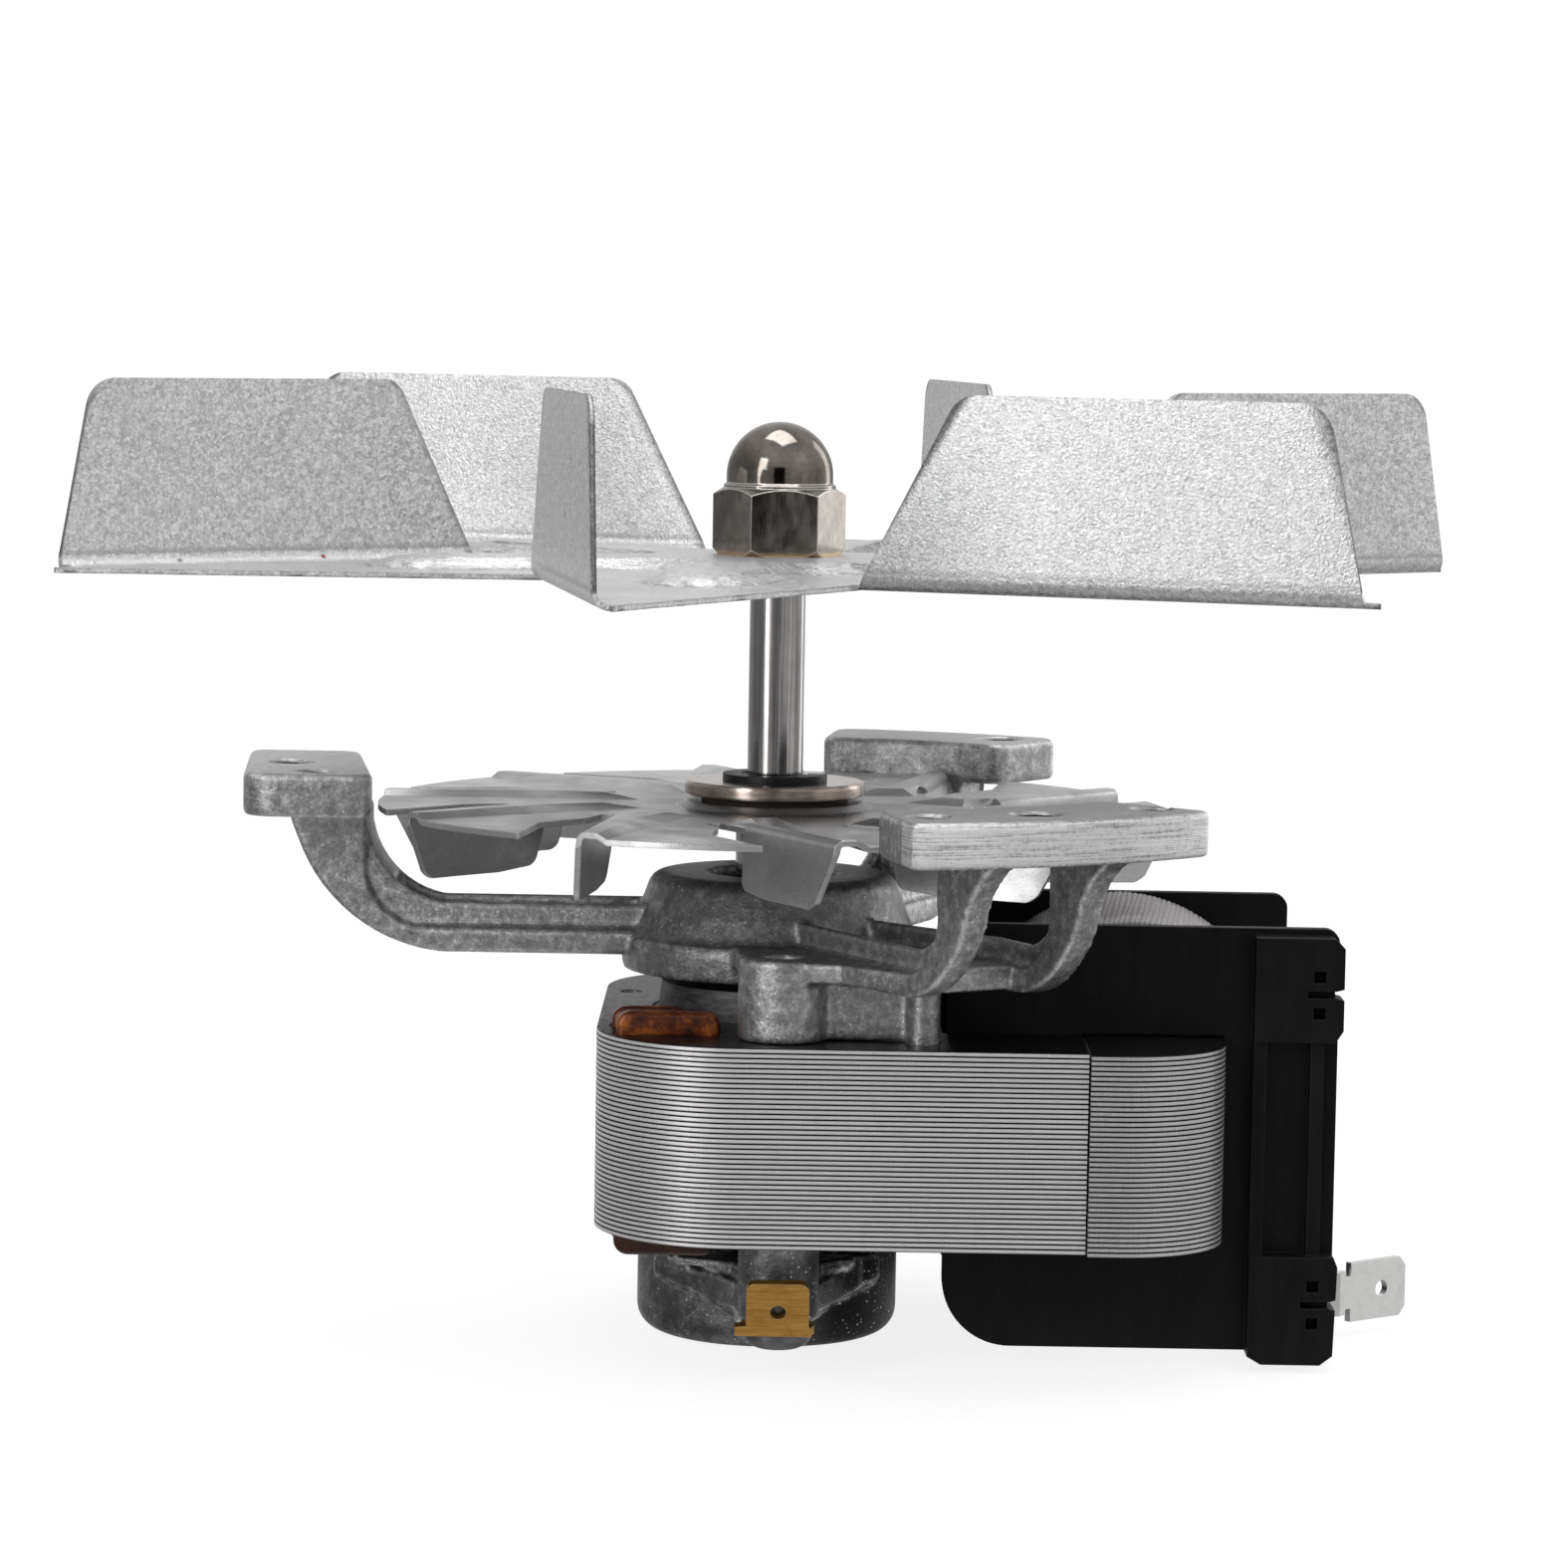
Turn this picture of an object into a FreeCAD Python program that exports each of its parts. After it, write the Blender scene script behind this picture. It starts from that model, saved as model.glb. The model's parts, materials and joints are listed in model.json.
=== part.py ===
import FreeCAD, Part
import math
import os

# Hot-air oven fan motor: a shaded-pole motor with a six-bladed impeller.
# Millimetres. Z is the shaft axis, pointing out of the impeller end.
# Z = 0 is the plane of the three bracket feet, where the motor is fixed.
# The coil lies on the +X side.

V = FreeCAD.Vector

# ---------------------------------------------------------------- dimensions
# shaft
R_SHAFT_OUT = 2.9          # radius of the outer end
R_SHAFT_IN = 4.0           # radius inside the motor
R_THREAD = 2.5             # radius of the threaded end
Z_SHAFT_STEP = -3.8        # shoulder under the cooling fan
Z_SHOULDER = 21.85         # shoulder under the impeller hub
Z_THREAD_TOP = 32.6
Z_SHAFT_END = -56.9
RUN_CLEAR = 0.03           # running clearance of the bushes

# impeller
T_IMP = 0.55               # sheet
Z_IMP = 21.1               # top of the plate
IMP_H = 39.9               # top edge of the blades
IMP_PHI0 = -80.97          # direction of the first fold line, degrees
IMP_P = 28.03              # fold line to axis
IMP_U = (18.87, 69.56, 29.20, 66.08)   # base from, base to, top from, top to
IMP_BEND = 1.7             # outer bend radius
IMP_TIP = 70.6             # plate runs this far past the blade
IMP_HUB_R = (13.2, 16.4)   # raised hub, top and foot radius
IMP_HUB_H = 1.3
IMP_RIB = (-20.3, 38.0, 6.0, 3.9)    # direction, centre of the round end, half widths at foot and top

# cap nut
NUT_AF = 12.0
NUT_TURN = 5.3
Z_NUT = 22.4
H_NUT_HEX = 7.0
R_NUT_DOME = 5.55
Z_NUT_TOP = 36.2

# clip, washers
Z_CLIP = (-1.1, -0.4)
R_CLIP = 5.45
R_CLIP_GROOVE = 2.35
CLIP_TURN = 118.0          # its open side is turned away to the back
Z_WASHER = (-2.6, -1.1)
R_WASHER = 9.4
Z_FIBRE = (-3.2, -2.6)
R_FIBRE = 7.65

# cooling fan
T_FAN = 0.6
Z_FAN = -3.8               # top of the disc
FAN_HUB_R = (9.3, 10.2)
FAN_HUB_H = 0.6
R_FAN = 41.3
FAN_N = 10
FAN_PHI0 = -62.0           # direction of the first bend line, degrees
FAN_P = 13.96              # bend line to axis
FAN_U = (19.9, 39.3)
FAN_BLADE_Z = -10.35
FAN_SLOT = 6.3             # width of the opening the blade is folded out of
FAN_RIDGE = 0.6            # each bend runs along a pressed ridge this high

# front bracket
T_FOOT = 4.5
R_FOOT_IN = 43.2
R_PCD = 50.5               # fixing holes, three at 120 degrees
R_FIX = 2.5
R_EXTRA = 2.1
Z_ARM = (-19.1, -14.0)     # bottom and top of the arms
Z_LEDGE = -16.5
Z_HUB_TOP = -10.7
Z_HUB_BOT = -20.8
R_HUB_HOLE = 6.6

# stator
Z_STK = (-45.3, -25.1)     # bottom and top of the stack
STK_Y = 30.5
STK_X = (-17.7, 31.8)
STK_CORNER = 14.5
WIN_X = 17.5               # window between the limbs starts here
WIN_Y = 17.6
R_BORE = 12.4
R_ROTOR = 12.05
SCREW_X, SCREW_Y = 1.2, 23.5
R_SCREW = 1.75
R_SCREW_HOLE = 2.0

# coil core and bobbin
CORE_X = (31.8, 46.0)
CORE_Y = 31.2
CORE_CORNER = 11.0
BOB_X = (17.9, 57.7)
BOB_Z = (-57.3, -13.9)
BOB_Y = 16.6
T_FLANGE = 1.6
T_TUBE = 1.2
COIL_C = (37.2, -35.2)
COIL_A = (18.7, 21.5)      # half width and half height of the wrapped coil
T_TAPE = 0.9

# rear bracket
R_CUP = 13.6
Z_CUP = -58.9
Z_REAR_BOSS = -53.4

# bearings
R_BALL = 7.2
H_BALL = 4.0               # half height of the bush
Z_BUSH_F = -16.2
Z_BUSH_R = -53.3


# ------------------------------------------------------------------- helpers
def cyl(r, z0, z1, x=0.0, y=0.0):
    return Part.makeCylinder(r, z1 - z0, V(x, y, z0))


def box(x0, x1, y0, y1, z0, z1):
    return Part.makeBox(x1 - x0, y1 - y0, z1 - z0, V(x0, y0, z0))


def path(points, closed=True):
    """Wire from 3-D points; ('A', mid, end) makes an arc through mid."""
    edges = []
    cur = points[0]
    for p in points[1:]:
        if isinstance(p, tuple) and p[0] == 'A':
            edges.append(Part.Arc(cur, p[1], p[2]).toShape())
            cur = p[2]
        else:
            edges.append(Part.LineSegment(cur, p).toShape())
            cur = p
    if closed and (cur - points[0]).Length > 1e-6:
        edges.append(Part.LineSegment(cur, points[0]).toShape())
    return Part.Wire(edges)


def map2(points, f):
    out = []
    for p in points:
        if p[0] == 'A':
            out.append(('A', f(p[1]), f(p[2])))
        else:
            out.append(f(p))
    return out


def prism_z(points, z0, z1):
    w = path(map2(points, lambda q: V(q[0], q[1], z0)))
    return Part.Face(w).extrude(V(0, 0, z1 - z0))


def prism_y(points, y0, y1):
    """points are (x, z)."""
    w = path(map2(points, lambda q: V(q[0], y0, q[1])))
    return Part.Face(w).extrude(V(0, y1 - y0, 0))


def prism_x(points, x0, x1):
    """points are (y, z)."""
    w = path(map2(points, lambda q: V(x0, q[0], q[1])))
    return Part.Face(w).extrude(V(x1 - x0, 0, 0))


def revolve(points):
    """points are (r, z), turned about Z."""
    w = path(map2(points, lambda q: V(q[0], 0, q[1])))
    return Part.Face(w).revolve(V(0, 0, 0), V(0, 0, 1), 360)


def rotz(shape, deg):
    s = shape.copy()
    s.rotate(V(0, 0, 0), V(0, 0, 1), deg)
    return s


def polar(r, deg):
    a = math.radians(deg)
    return (r * math.cos(a), r * math.sin(a))


def fuse(shapes):
    s = shapes[0]
    if len(shapes) > 1:
        s = s.multiFuse(shapes[1:])
    return s.removeSplitter()


def frustum(base, z0, top, z1):
    """Loft between two polygons given as (x, y) lists."""
    w0 = path([V(x, y, z0) for x, y in base])
    w1 = path([V(x, y, z1) for x, y in top])
    return Part.makeLoft([w0, w1], True, True)


def fillet_where(shape, radius, test):
    """Round the edges for which test(edge) holds; keep the shape if it fails."""
    edges = [e for e in shape.Edges if test(e)]
    if not edges:
        return shape
    try:
        out = shape.makeFillet(radius, edges)
        if out.isValid() and out.Volume > 0:
            return out
    except Exception:
        pass
    return shape


def vertical(e):
    if len(e.Vertexes) != 2:
        return False
    a, b = e.Vertexes[0].Point, e.Vertexes[1].Point
    return abs(a.x - b.x) < 1e-4 and abs(a.y - b.y) < 1e-4


def single(shape):
    """The one solid of a shape."""
    sol = shape.Solids
    if len(sol) == 1:
        return sol[0]
    sol = sorted(sol, key=lambda s: -s.Volume)
    print("note: %d solids, volumes %s" % (len(sol), [round(s.Volume, 2) for s in sol]))
    return sol[0]


parts = {}

# --------------------------------------------------------------------- shaft
sh = revolve([
    (0, Z_SHAFT_END), (R_SHAFT_IN - 0.6, Z_SHAFT_END), (R_SHAFT_IN, Z_SHAFT_END + 0.6),
    (R_SHAFT_IN, Z_SHAFT_STEP), (R_SHAFT_OUT, Z_SHAFT_STEP),
    (R_SHAFT_OUT, Z_CLIP[0]), (R_CLIP_GROOVE, Z_CLIP[0]), (R_CLIP_GROOVE, Z_CLIP[1]),
    (R_SHAFT_OUT, Z_CLIP[1]), (R_SHAFT_OUT, Z_SHOULDER - 0.2), (R_SHAFT_OUT - 0.2, Z_SHOULDER),
    (R_THREAD, Z_SHOULDER), (R_THREAD, Z_THREAD_TOP - 0.6), (R_THREAD - 0.6, Z_THREAD_TOP),
    (0, Z_THREAD_TOP)])
# flat on the threaded end, which keeps the impeller from turning on the shaft
sh = sh.cut(box(-5, 5, 2.05, 5, Z_SHOULDER, Z_THREAD_TOP + 1))
parts["shaft"] = sh

# ------------------------------------------------------------------ impeller
P = -IMP_P
U1, U2, U3, U4 = IMP_U
ZB = Z_IMP - T_IMP

# plate: a star whose long sides are the fold lines
outline = []
for k in range(6):
    a = math.radians(60 * k)
    c, s = math.cos(a), math.sin(a)

    def loc(u, v, c=c, s=s):
        return (u * c - v * s, u * s + v * c)

    outline.append(loc(U1, P))
    outline.append(loc(IMP_TIP, P))
    outline.append(('A', loc(IMP_TIP + 0.75, P + 0.9), loc(IMP_TIP - 0.2, P + 2.4)))
plate = prism_z(outline, ZB, Z_IMP)

# one blade with its bend, in local axes (u along X, v along Y)
bend = prism_x([
    (P + IMP_BEND, ZB), ('A', (P + IMP_BEND * (1 - math.sin(math.radians(45))),
                               ZB + IMP_BEND * (1 - math.cos(math.radians(45)))),
                         (P, ZB + IMP_BEND)),
    (P, IMP_H), (P + T_IMP, IMP_H), (P + T_IMP, ZB + IMP_BEND),
    ('A', (P + IMP_BEND - (IMP_BEND - T_IMP) * math.cos(math.radians(45)),
           ZB + IMP_BEND - (IMP_BEND - T_IMP) * math.sin(math.radians(45))),
     (P + IMP_BEND, ZB + T_IMP))], U1 - 1, IMP_TIP)

# outline of the blade seen square on, with rounded top corners
r_in, r_out = 3.0, 3.4


def corner(p0, p1, p2, r):
    """Points of an arc of radius r that rounds p1 between p0 and p2."""
    v0 = V(p0[0] - p1[0], p0[1] - p1[1], 0)
    v2 = V(p2[0] - p1[0], p2[1] - p1[1], 0)
    ang = v0.getAngle(v2)
    d = r / math.tan(ang / 2)
    a = V(p1[0], p1[1], 0) + v0.normalize() * d
    b = V(p1[0], p1[1], 0) + v2.normalize() * d
    mid_dir = (v0 + v2).normalize()
    cen = V(p1[0], p1[1], 0) + mid_dir * (r / math.sin(ang / 2))
    m = cen - mid_dir * r
    return (a.x, a.y), ('A', (m.x, m.y), (b.x, b.y))


b0 = (U1, Z_IMP - 0.6)
b1 = (U2 + 0.5, Z_IMP - 0.6)
t1 = (U4, IMP_H)
t0 = (U3, IMP_H)
ca, cb = corner(b1, t1, t0, r_out)
da, db = corner(t1, t0, b0, r_in)
blade_face = prism_y([(U1, ZB - 1), (IMP_TIP, ZB - 1), (IMP_TIP, Z_IMP - 0.6), b1, ca, cb, da, db, b0],
                     P - 1, P + 4)
blade = bend.common(blade_face)

# the plate stops where the bend begins
trim = prism_x([(P - 1, ZB - 0.1), (P + IMP_BEND, ZB - 0.1), (P + IMP_BEND, Z_IMP + 0.1), (P - 1, Z_IMP + 0.1)],
               U1 - 0.001, IMP_TIP + 3)
for k in range(6):
    plate = plate.cut(rotz(trim, 60 * k))
imp = fuse([plate] + [rotz(blade, 60 * k) for k in range(6)])

# raised hub and one raised rib along each arm, pressed up out of the sheet
def ribs(dz):
    out = []
    cone = Part.makeCone(IMP_HUB_R[1], IMP_HUB_R[0], IMP_HUB_H, V(0, 0, Z_IMP + dz))
    out.append(cone)
    deg, r_end, wb, wt = IMP_RIB
    base, top = [], []
    for side in range(7):
        t = math.radians(-90 + 30 * side)
        for w, pts in ((wb, base), (wt, top)):
            pts.append((r_end + w * math.cos(t), w * math.sin(t)))
    for w, pts in ((wb, base), (wt, top)):
        pts.append((9.0, w))
        pts.append((9.0, -w))
    for k in range(6):
        out.append(rotz(frustum(base, Z_IMP + dz, top, Z_IMP + IMP_HUB_H + dz), 60 * k + deg))
    s = out[0]
    return s.multiFuse(out[1:])


imp = imp.fuse(ribs(0.0)).cut(ribs(-T_IMP))
imp = rotz(imp, IMP_PHI0)
imp = imp.cut(cyl(R_THREAD + 0.02, ZB - 1, Z_IMP + 3).cut(box(-5, 5, 2.07, 5, ZB - 1, Z_IMP + 3))).removeSplitter()
parts["impeller"] = imp

# ------------------------------------------------------------------- cap nut
r_ac = NUT_AF / math.sqrt(3)
hexa = [polar(r_ac, NUT_TURN + 60 * k) for k in range(6)]
hexp = prism_z(hexa, Z_NUT, Z_NUT + H_NUT_HEX)
dome_c = Z_NUT_TOP - R_NUT_DOME
turned = revolve([
    (0, Z_NUT), (NUT_AF / 2 + 0.35, Z_NUT), (r_ac + 0.02, Z_NUT + 0.7),
    (r_ac + 0.02, Z_NUT + H_NUT_HEX - 0.75), (R_NUT_DOME + 0.25, Z_NUT + H_NUT_HEX), (0, Z_NUT + H_NUT_HEX)])
nut = hexp.common(turned)
dome = revolve([
    (0, Z_NUT + 1), (R_NUT_DOME, Z_NUT + 1), (R_NUT_DOME, dome_c),
    ('A', (R_NUT_DOME * math.cos(math.pi / 4), dome_c + R_NUT_DOME * math.sin(math.pi / 4)), (0, Z_NUT_TOP))])
collar = revolve([(0, Z_NUT + 1), (R_NUT_DOME + 0.28, Z_NUT + 1), (R_NUT_DOME + 0.28, Z_NUT + H_NUT_HEX + 0.25),
                  (R_NUT_DOME + 0.05, Z_NUT + H_NUT_HEX + 0.45), (0, Z_NUT + H_NUT_HEX + 0.45)])
nut = nut.multiFuse([dome, collar]).cut(cyl(R_THREAD + 0.02, Z_NUT - 1, Z_THREAD_TOP + 0.4)).removeSplitter()
parts["cap_nut"] = nut

# ----------------------------------------------------------- clip and washers
clip = cyl(R_CLIP, Z_CLIP[0], Z_CLIP[1]).cut(cyl(3.5, -2, 1))
for a in (90, 205, 335):
    lug = box(R_CLIP_GROOVE + 0.02, 4.3, -1.0, 1.0, Z_CLIP[0], Z_CLIP[1])
    clip = clip.fuse(rotz(lug, a))
clip = clip.cut(cyl(R_CLIP_GROOVE + 0.02, -2, 1))
clip = clip.cut(rotz(prism_z([(0, 0), (7, -3.9), (7, 3.9)], -2, 1).cut(cyl(R_CLIP_GROOVE, -2, 1)), 270))
parts["shaft_clip"] = single(rotz(clip.removeSplitter(), CLIP_TURN))

wa = cyl(R_WASHER, Z_WASHER[0], Z_WASHER[1]).cut(cyl(R_SHAFT_OUT + 0.05, -4, 1))
wa = fillet_where(wa, 0.35, lambda e: abs(e.BoundBox.XMax - R_WASHER) < 0.01 and e.BoundBox.ZLength < 0.01)
parts["clip_washer"] = wa
parts["fibre_washer"] = cyl(R_FIBRE, Z_FIBRE[0], Z_FIBRE[1]).cut(cyl(R_SHAFT_OUT + 0.05, -5, 1))

# --------------------------------------------------------------- cooling fan
FP = -FAN_P
fan = cyl(R_FAN, Z_FAN - T_FAN, Z_FAN)
slots = []
blades = []
ZR = Z_FAN + FAN_RIDGE
for j in range(FAN_N):
    ang = 360.0 / FAN_N * j
    # opening beside the bend line, with a narrow relief inside, open at the rim
    sl = prism_z([(FAN_U[0] + 1.0, FP + 0.01), (15.6, FP - 0.1), ('A', (14.5, FP - 1.0), (15.6, FP - 1.9)),
                  (19.4, FP - 2.6), (22.0, FP - 4.4), (25.2, FP - FAN_SLOT), (46, FP - FAN_SLOT), (46, FP + 0.01)],
                 Z_FAN - 2, Z_FAN + 2)
    slots.append(rotz(sl, ang))
    zb = ZR - T_FAN
    bl = prism_x([(FP + 1.0, zb), (FP + 1.0, ZR),
                  ('A', (FP + 0.293, ZR - 0.293), (FP, ZR - 1.0)), (FP - 0.75, FAN_BLADE_Z), (FP - 0.15, FAN_BLADE_Z),
                  (FP + T_FAN, ZR - 1.0),
                  ('A', (FP + T_FAN + 0.117, ZR - 0.717), (FP + 1.0, zb))], FAN_U[0], FAN_U[1])
    side = prism_y([(FAN_U[0], ZR + 1), (20.1, -5.5), (20.75, -8.7), ('A', (21.15, -9.55), (22.1, -9.95)),
                    (26.0, FAN_BLADE_Z + 0.02), (33.0, FAN_BLADE_Z + 0.02), ('A', (35.6, -10.15), (36.35, -9.6)),
                    (FAN_U[1], -4.0), (FAN_U[1], ZR + 1)], FP - 2, FP + 3)
    blades.append(rotz(bl.common(side), ang))
fan = fan.cut(slots[0].multiFuse(slots[1:]))
# the sheet is trimmed where each bend takes over from the flat
trims = []
for j in range(FAN_N):
    tr = prism_z([(FAN_U[0] + 0.5, FP - 0.6), (46, FP - 0.6), (46, FP + 1.0), (FAN_U[0] + 0.5, FP + 1.0)],
                 Z_FAN - 2, Z_FAN + 2)
    trims.append(rotz(tr, 360.0 / FAN_N * j))
fan = fan.cut(trims[0].multiFuse(trims[1:]))


def fan_emboss(dz):
    """Raised hub, and a ridge along each bend that falls away to the petal."""
    out = [Part.makeCone(FAN_HUB_R[1], FAN_HUB_R[0], FAN_HUB_H, V(0, 0, Z_FAN + dz))]
    for j in range(FAN_N):
        base = [(13.2, FP + 7.6), (15.0, FP + 1.0), (20.4, FP + 1.0), (44.0, FP + 1.0), (44.0, FP + 2.6), (22.5, FP + 6.0)]
        top = [(16.6, FP + 5.4), (16.8, FP + 2.4), (20.4, FP + 1.0), (44.0, FP + 1.0), (44.0, FP + 1.9), (23.0, FP + 3.2)]
        out.append(rotz(frustum(base, Z_FAN + dz, top, ZR + dz), 360.0 / FAN_N * j))
    return out[0].multiFuse(out[1:])


fan = fan.fuse(fan_emboss(0.0)).cut(fan_emboss(-T_FAN))
fan = fan.multiFuse(blades)
fan = fan.common(cyl(R_FAN, -20, 0))
fan = fan.cut(cyl(R_SHAFT_OUT + 0.03, -9, 1))
parts["cooling_fan"] = single(rotz(fan, FAN_PHI0).removeSplitter())

# --------------------------------------------------------------------- rotor
core = cyl(R_ROTOR, Z_STK[0], Z_STK[1]).cut(cyl(R_SHAFT_IN, -60, 0))
bars = []
for k in range(17):
    x, y = polar(10.5, 360.0 / 17 * k)
    bars.append(cyl(0.95, Z_STK[0], Z_STK[1], x, y))
core = core.cut(bars[0].multiFuse(bars[1:]))
parts["rotor_core"] = core
ring_t = revolve([(7.2, Z_STK[1]), (11.8, Z_STK[1]), (11.5, Z_STK[1] + 3.0), (7.6, Z_STK[1] + 3.0)])
ring_b = revolve([(7.2, Z_STK[0]), (11.8, Z_STK[0]), (11.5, Z_STK[0] - 3.0), (7.6, Z_STK[0] - 3.0)])
parts["rotor_cage"] = ring_t.multiFuse([ring_b] + bars).removeSplitter()
parts["front_spacer"] = cyl(5.7, Z_STK[1], -21.7).cut(cyl(R_SHAFT_IN, -60, 0))
parts["rear_spacer"] = cyl(5.7, -48.1, Z_STK[0]).cut(cyl(R_SHAFT_IN, -60, 0))
parts["front_thrust_washer"] = cyl(6.0, -21.7, -20.9).cut(cyl(R_SHAFT_IN + 0.05, -60, 0))
parts["rear_thrust_washer"] = cyl(6.0, -48.7, -48.1).cut(cyl(R_SHAFT_IN + 0.05, -60, 0))


# ------------------------------------------------------------------- bearings
def bush(zc):
    s = Part.makeSphere(R_BALL, V(0, 0, zc)).common(cyl(9, zc - H_BALL, zc + H_BALL))
    return s.cut(cyl(R_SHAFT_IN + RUN_CLEAR, zc - 9, zc + 9))


parts["front_bearing"] = bush(Z_BUSH_F)
parts["rear_bearing"] = bush(Z_BUSH_R)
parts["front_oil_felt"] = cyl(8.8, -19.0, -15.0).cut(cyl(7.3, -25, -10))
parts["rear_oil_felt"] = cyl(8.8, -54.6, -50.6).cut(cyl(7.3, -60, -45))
parts["front_bearing_retainer"] = cyl(9.4, -20.0, -19.4).cut(cyl(6.5, -25, -10))
parts["rear_bearing_retainer"] = cyl(9.4, -50.1, -49.5).cut(cyl(6.5, -55, -45))

# -------------------------------------------------------------- front bracket
Zf0, Zf1 = -T_FOOT, 0.0


def foot_sector(r0, r1, a0, a1, taper=0.0):
    """Foot between two radii and two directions; taper narrows the inner end."""
    p = [polar(r0, a0 + taper), ('A', polar(r0, (a0 + a1) / 2), polar(r0, a1 - taper)),
         polar(r1, a1), ('A', polar(r1, (a0 + a1) / 2), polar(r1, a0))]
    return prism_z(p, Zf0, Zf1)


def round_foot(f, r_out_corner, r_in_corner, split):
    f = fillet_where(f, r_out_corner, lambda e: vertical(e) and math.hypot(e.Vertexes[0].X, e.Vertexes[0].Y) > split)
    f = fillet_where(f, r_in_corner, lambda e: vertical(e) and math.hypot(e.Vertexes[0].X, e.Vertexes[0].Y) < split)
    return f


foot_l = prism_z([(-56.2, 14.2), (-54.1, -14.5), (-40.8, -14.5), (-44.4, 14.2)], Zf0, Zf1)
foot_l = fillet_where(foot_l, 3.4, lambda e: vertical(e) and abs(e.Vertexes[0].X + 54.1) < 0.1)
foot_l = fillet_where(foot_l, 1.8, lambda e: vertical(e) and abs(e.Vertexes[0].X + 56.2) < 0.1)
foot_l = fillet_where(foot_l, 1.6, lambda e: vertical(e) and abs(e.Vertexes[0].X + 40.8) < 0.1)
foot_l = fillet_where(foot_l, 2.4, lambda e: vertical(e) and abs(e.Vertexes[0].X + 44.4) < 0.1)
foot_f = round_foot(foot_sector(R_FOOT_IN, 57.0, -76.8, -41.3), 1.2, 1.6, 49)
foot_b = round_foot(foot_sector(R_FOOT_IN - 0.6, 55.6, 54.4, 83.0), 2.6, 2.0, 49)
foot_l = fillet_where(foot_l, 0.5, lambda e: e.BoundBox.ZLength < 1e-4)
foot_f = fillet_where(foot_f, 0.45, lambda e: e.BoundBox.ZLength < 1e-4)
foot_b = fillet_where(foot_b, 0.5, lambda e: e.BoundBox.ZLength < 1e-4)


def arc_mid(c, r, deg):
    return (c[0] + r * math.cos(math.radians(deg)), c[1] + r * math.sin(math.radians(deg)))


# profile of a leg and arm, (x, z), running out along +X:
# a thick band that turns down out of the foot, and a narrower rib inside the turn
ZA0, ZA1 = Z_ARM
band = [(12.0, ZA0), (34.4, ZA0),
        ('A', (43.6, -15.4), (49.2, -7.6)), (50.0, -5.6), (50.0, -4.3), (42.2, -4.3), (42.2, -10.6),
        ('A', (40.3, -14.7), (36.2, Z_LEDGE)), (12.0, Z_LEDGE)]
rib = [(12.0, Z_LEDGE - 0.6), (36.4, Z_LEDGE - 0.6), (41.0, -14.4), (42.6, -10.2), (42.6, -6.4), (42.1, -6.4),
       ('A', (39.5, -11.4), (34.6, ZA1)), (12.0, ZA1)]


def channel_arm(half_band, half_rib, wall):
    b = prism_y(band, -half_band, half_band)
    b = fillet_where(b, 0.5, lambda e: abs(e.BoundBox.YLength) < 1e-4 and e.BoundBox.ZMax < -4.4)
    r = prism_y(rib, -half_rib, half_rib)
    s = b.fuse(r)
    hollow = prism_y([(14.0, -17.4), (36.0, -17.4), ('A', (38.4, -16.4), (39.4, -13.6)), (39.4, -8.0), (30.0, -8.0),
                      (14.0, -8.0)], -half_rib + wall, half_rib - wall)
    return s.cut(hollow)


arm_l = rotz(channel_arm(5.8, 4.6, 1.4), 180)
arm_b = rotz(channel_arm(5.4, 4.4, 1.4), 68)

# the front pair of legs: flat J-shaped bars flared into the foot, each with a rib inside
# its turn, and a bar that links them
def leg(t, dx, w, t_rib, w_rib, x_in=13.0):
    """Leg at distance t from the axis plane, along -60 degrees; dx puts its turn further out."""
    band = [(x_in, ZA0), (34.6 + dx, -19.2), ('A', (41.0 + dx, -18.05), (45.2 + dx, -14.7)),
            ('A', (47.1 + dx, -12.2), (48.1 + dx, -9.6)), ('A', (49.8 + dx, -6.9), (54.3 + dx, -4.3)),
            (42.4 + dx, -4.3), (42.4 + dx, -9.5), ('A', (41.3 + dx, -14.4), (37.4 + dx, -16.8)), (x_in, -16.8)]
    s = prism_y(band, t - w / 2, t + w / 2)
    s = fillet_where(s, 0.45, lambda e: abs(e.BoundBox.YLength) < 1e-4 and e.BoundBox.ZMax < -4.4
                     and e.BoundBox.XMax > 36)
    rib = [(x_in, -17.4), (38.0 + dx, -17.4), (42.2 + dx, -14.4), (43.2 + dx, -10.4), (42.0 + dx, -9.4),
           ('A', (40.0 + dx, -12.9), (36.2 + dx, -14.6)), (x_in, -14.5)]
    return s.fuse(prism_y(rib, t_rib - w_rib / 2, t_rib + w_rib / 2))


leg_a = rotz(leg(-4.8, 0.0, 2.8, -4.1, 1.3), -60)
# the second leg swings round the coil on its way out
leg_b = leg(7.55, 1.0, 2.8, 8.2, 1.3, 30.5).multiFuse([
    prism_z([(12.0, 1.4), (31.5, 6.15), (32.5, 6.15), (32.5, 8.95), (31.5, 8.95), (12.0, 4.2)], ZA0, -16.8),
    prism_z([(12.0, 2.9), (31.5, 7.55), (32.5, 7.55), (32.5, 8.85), (31.5, 8.85), (12.0, 4.1)], -17.4, -14.5)])
leg_b = rotz(leg_b, -60)
link = rotz(box(32.0, 37.2, -4.0, 7.0, ZA0 + 0.1, -16.6), -60)

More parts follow.
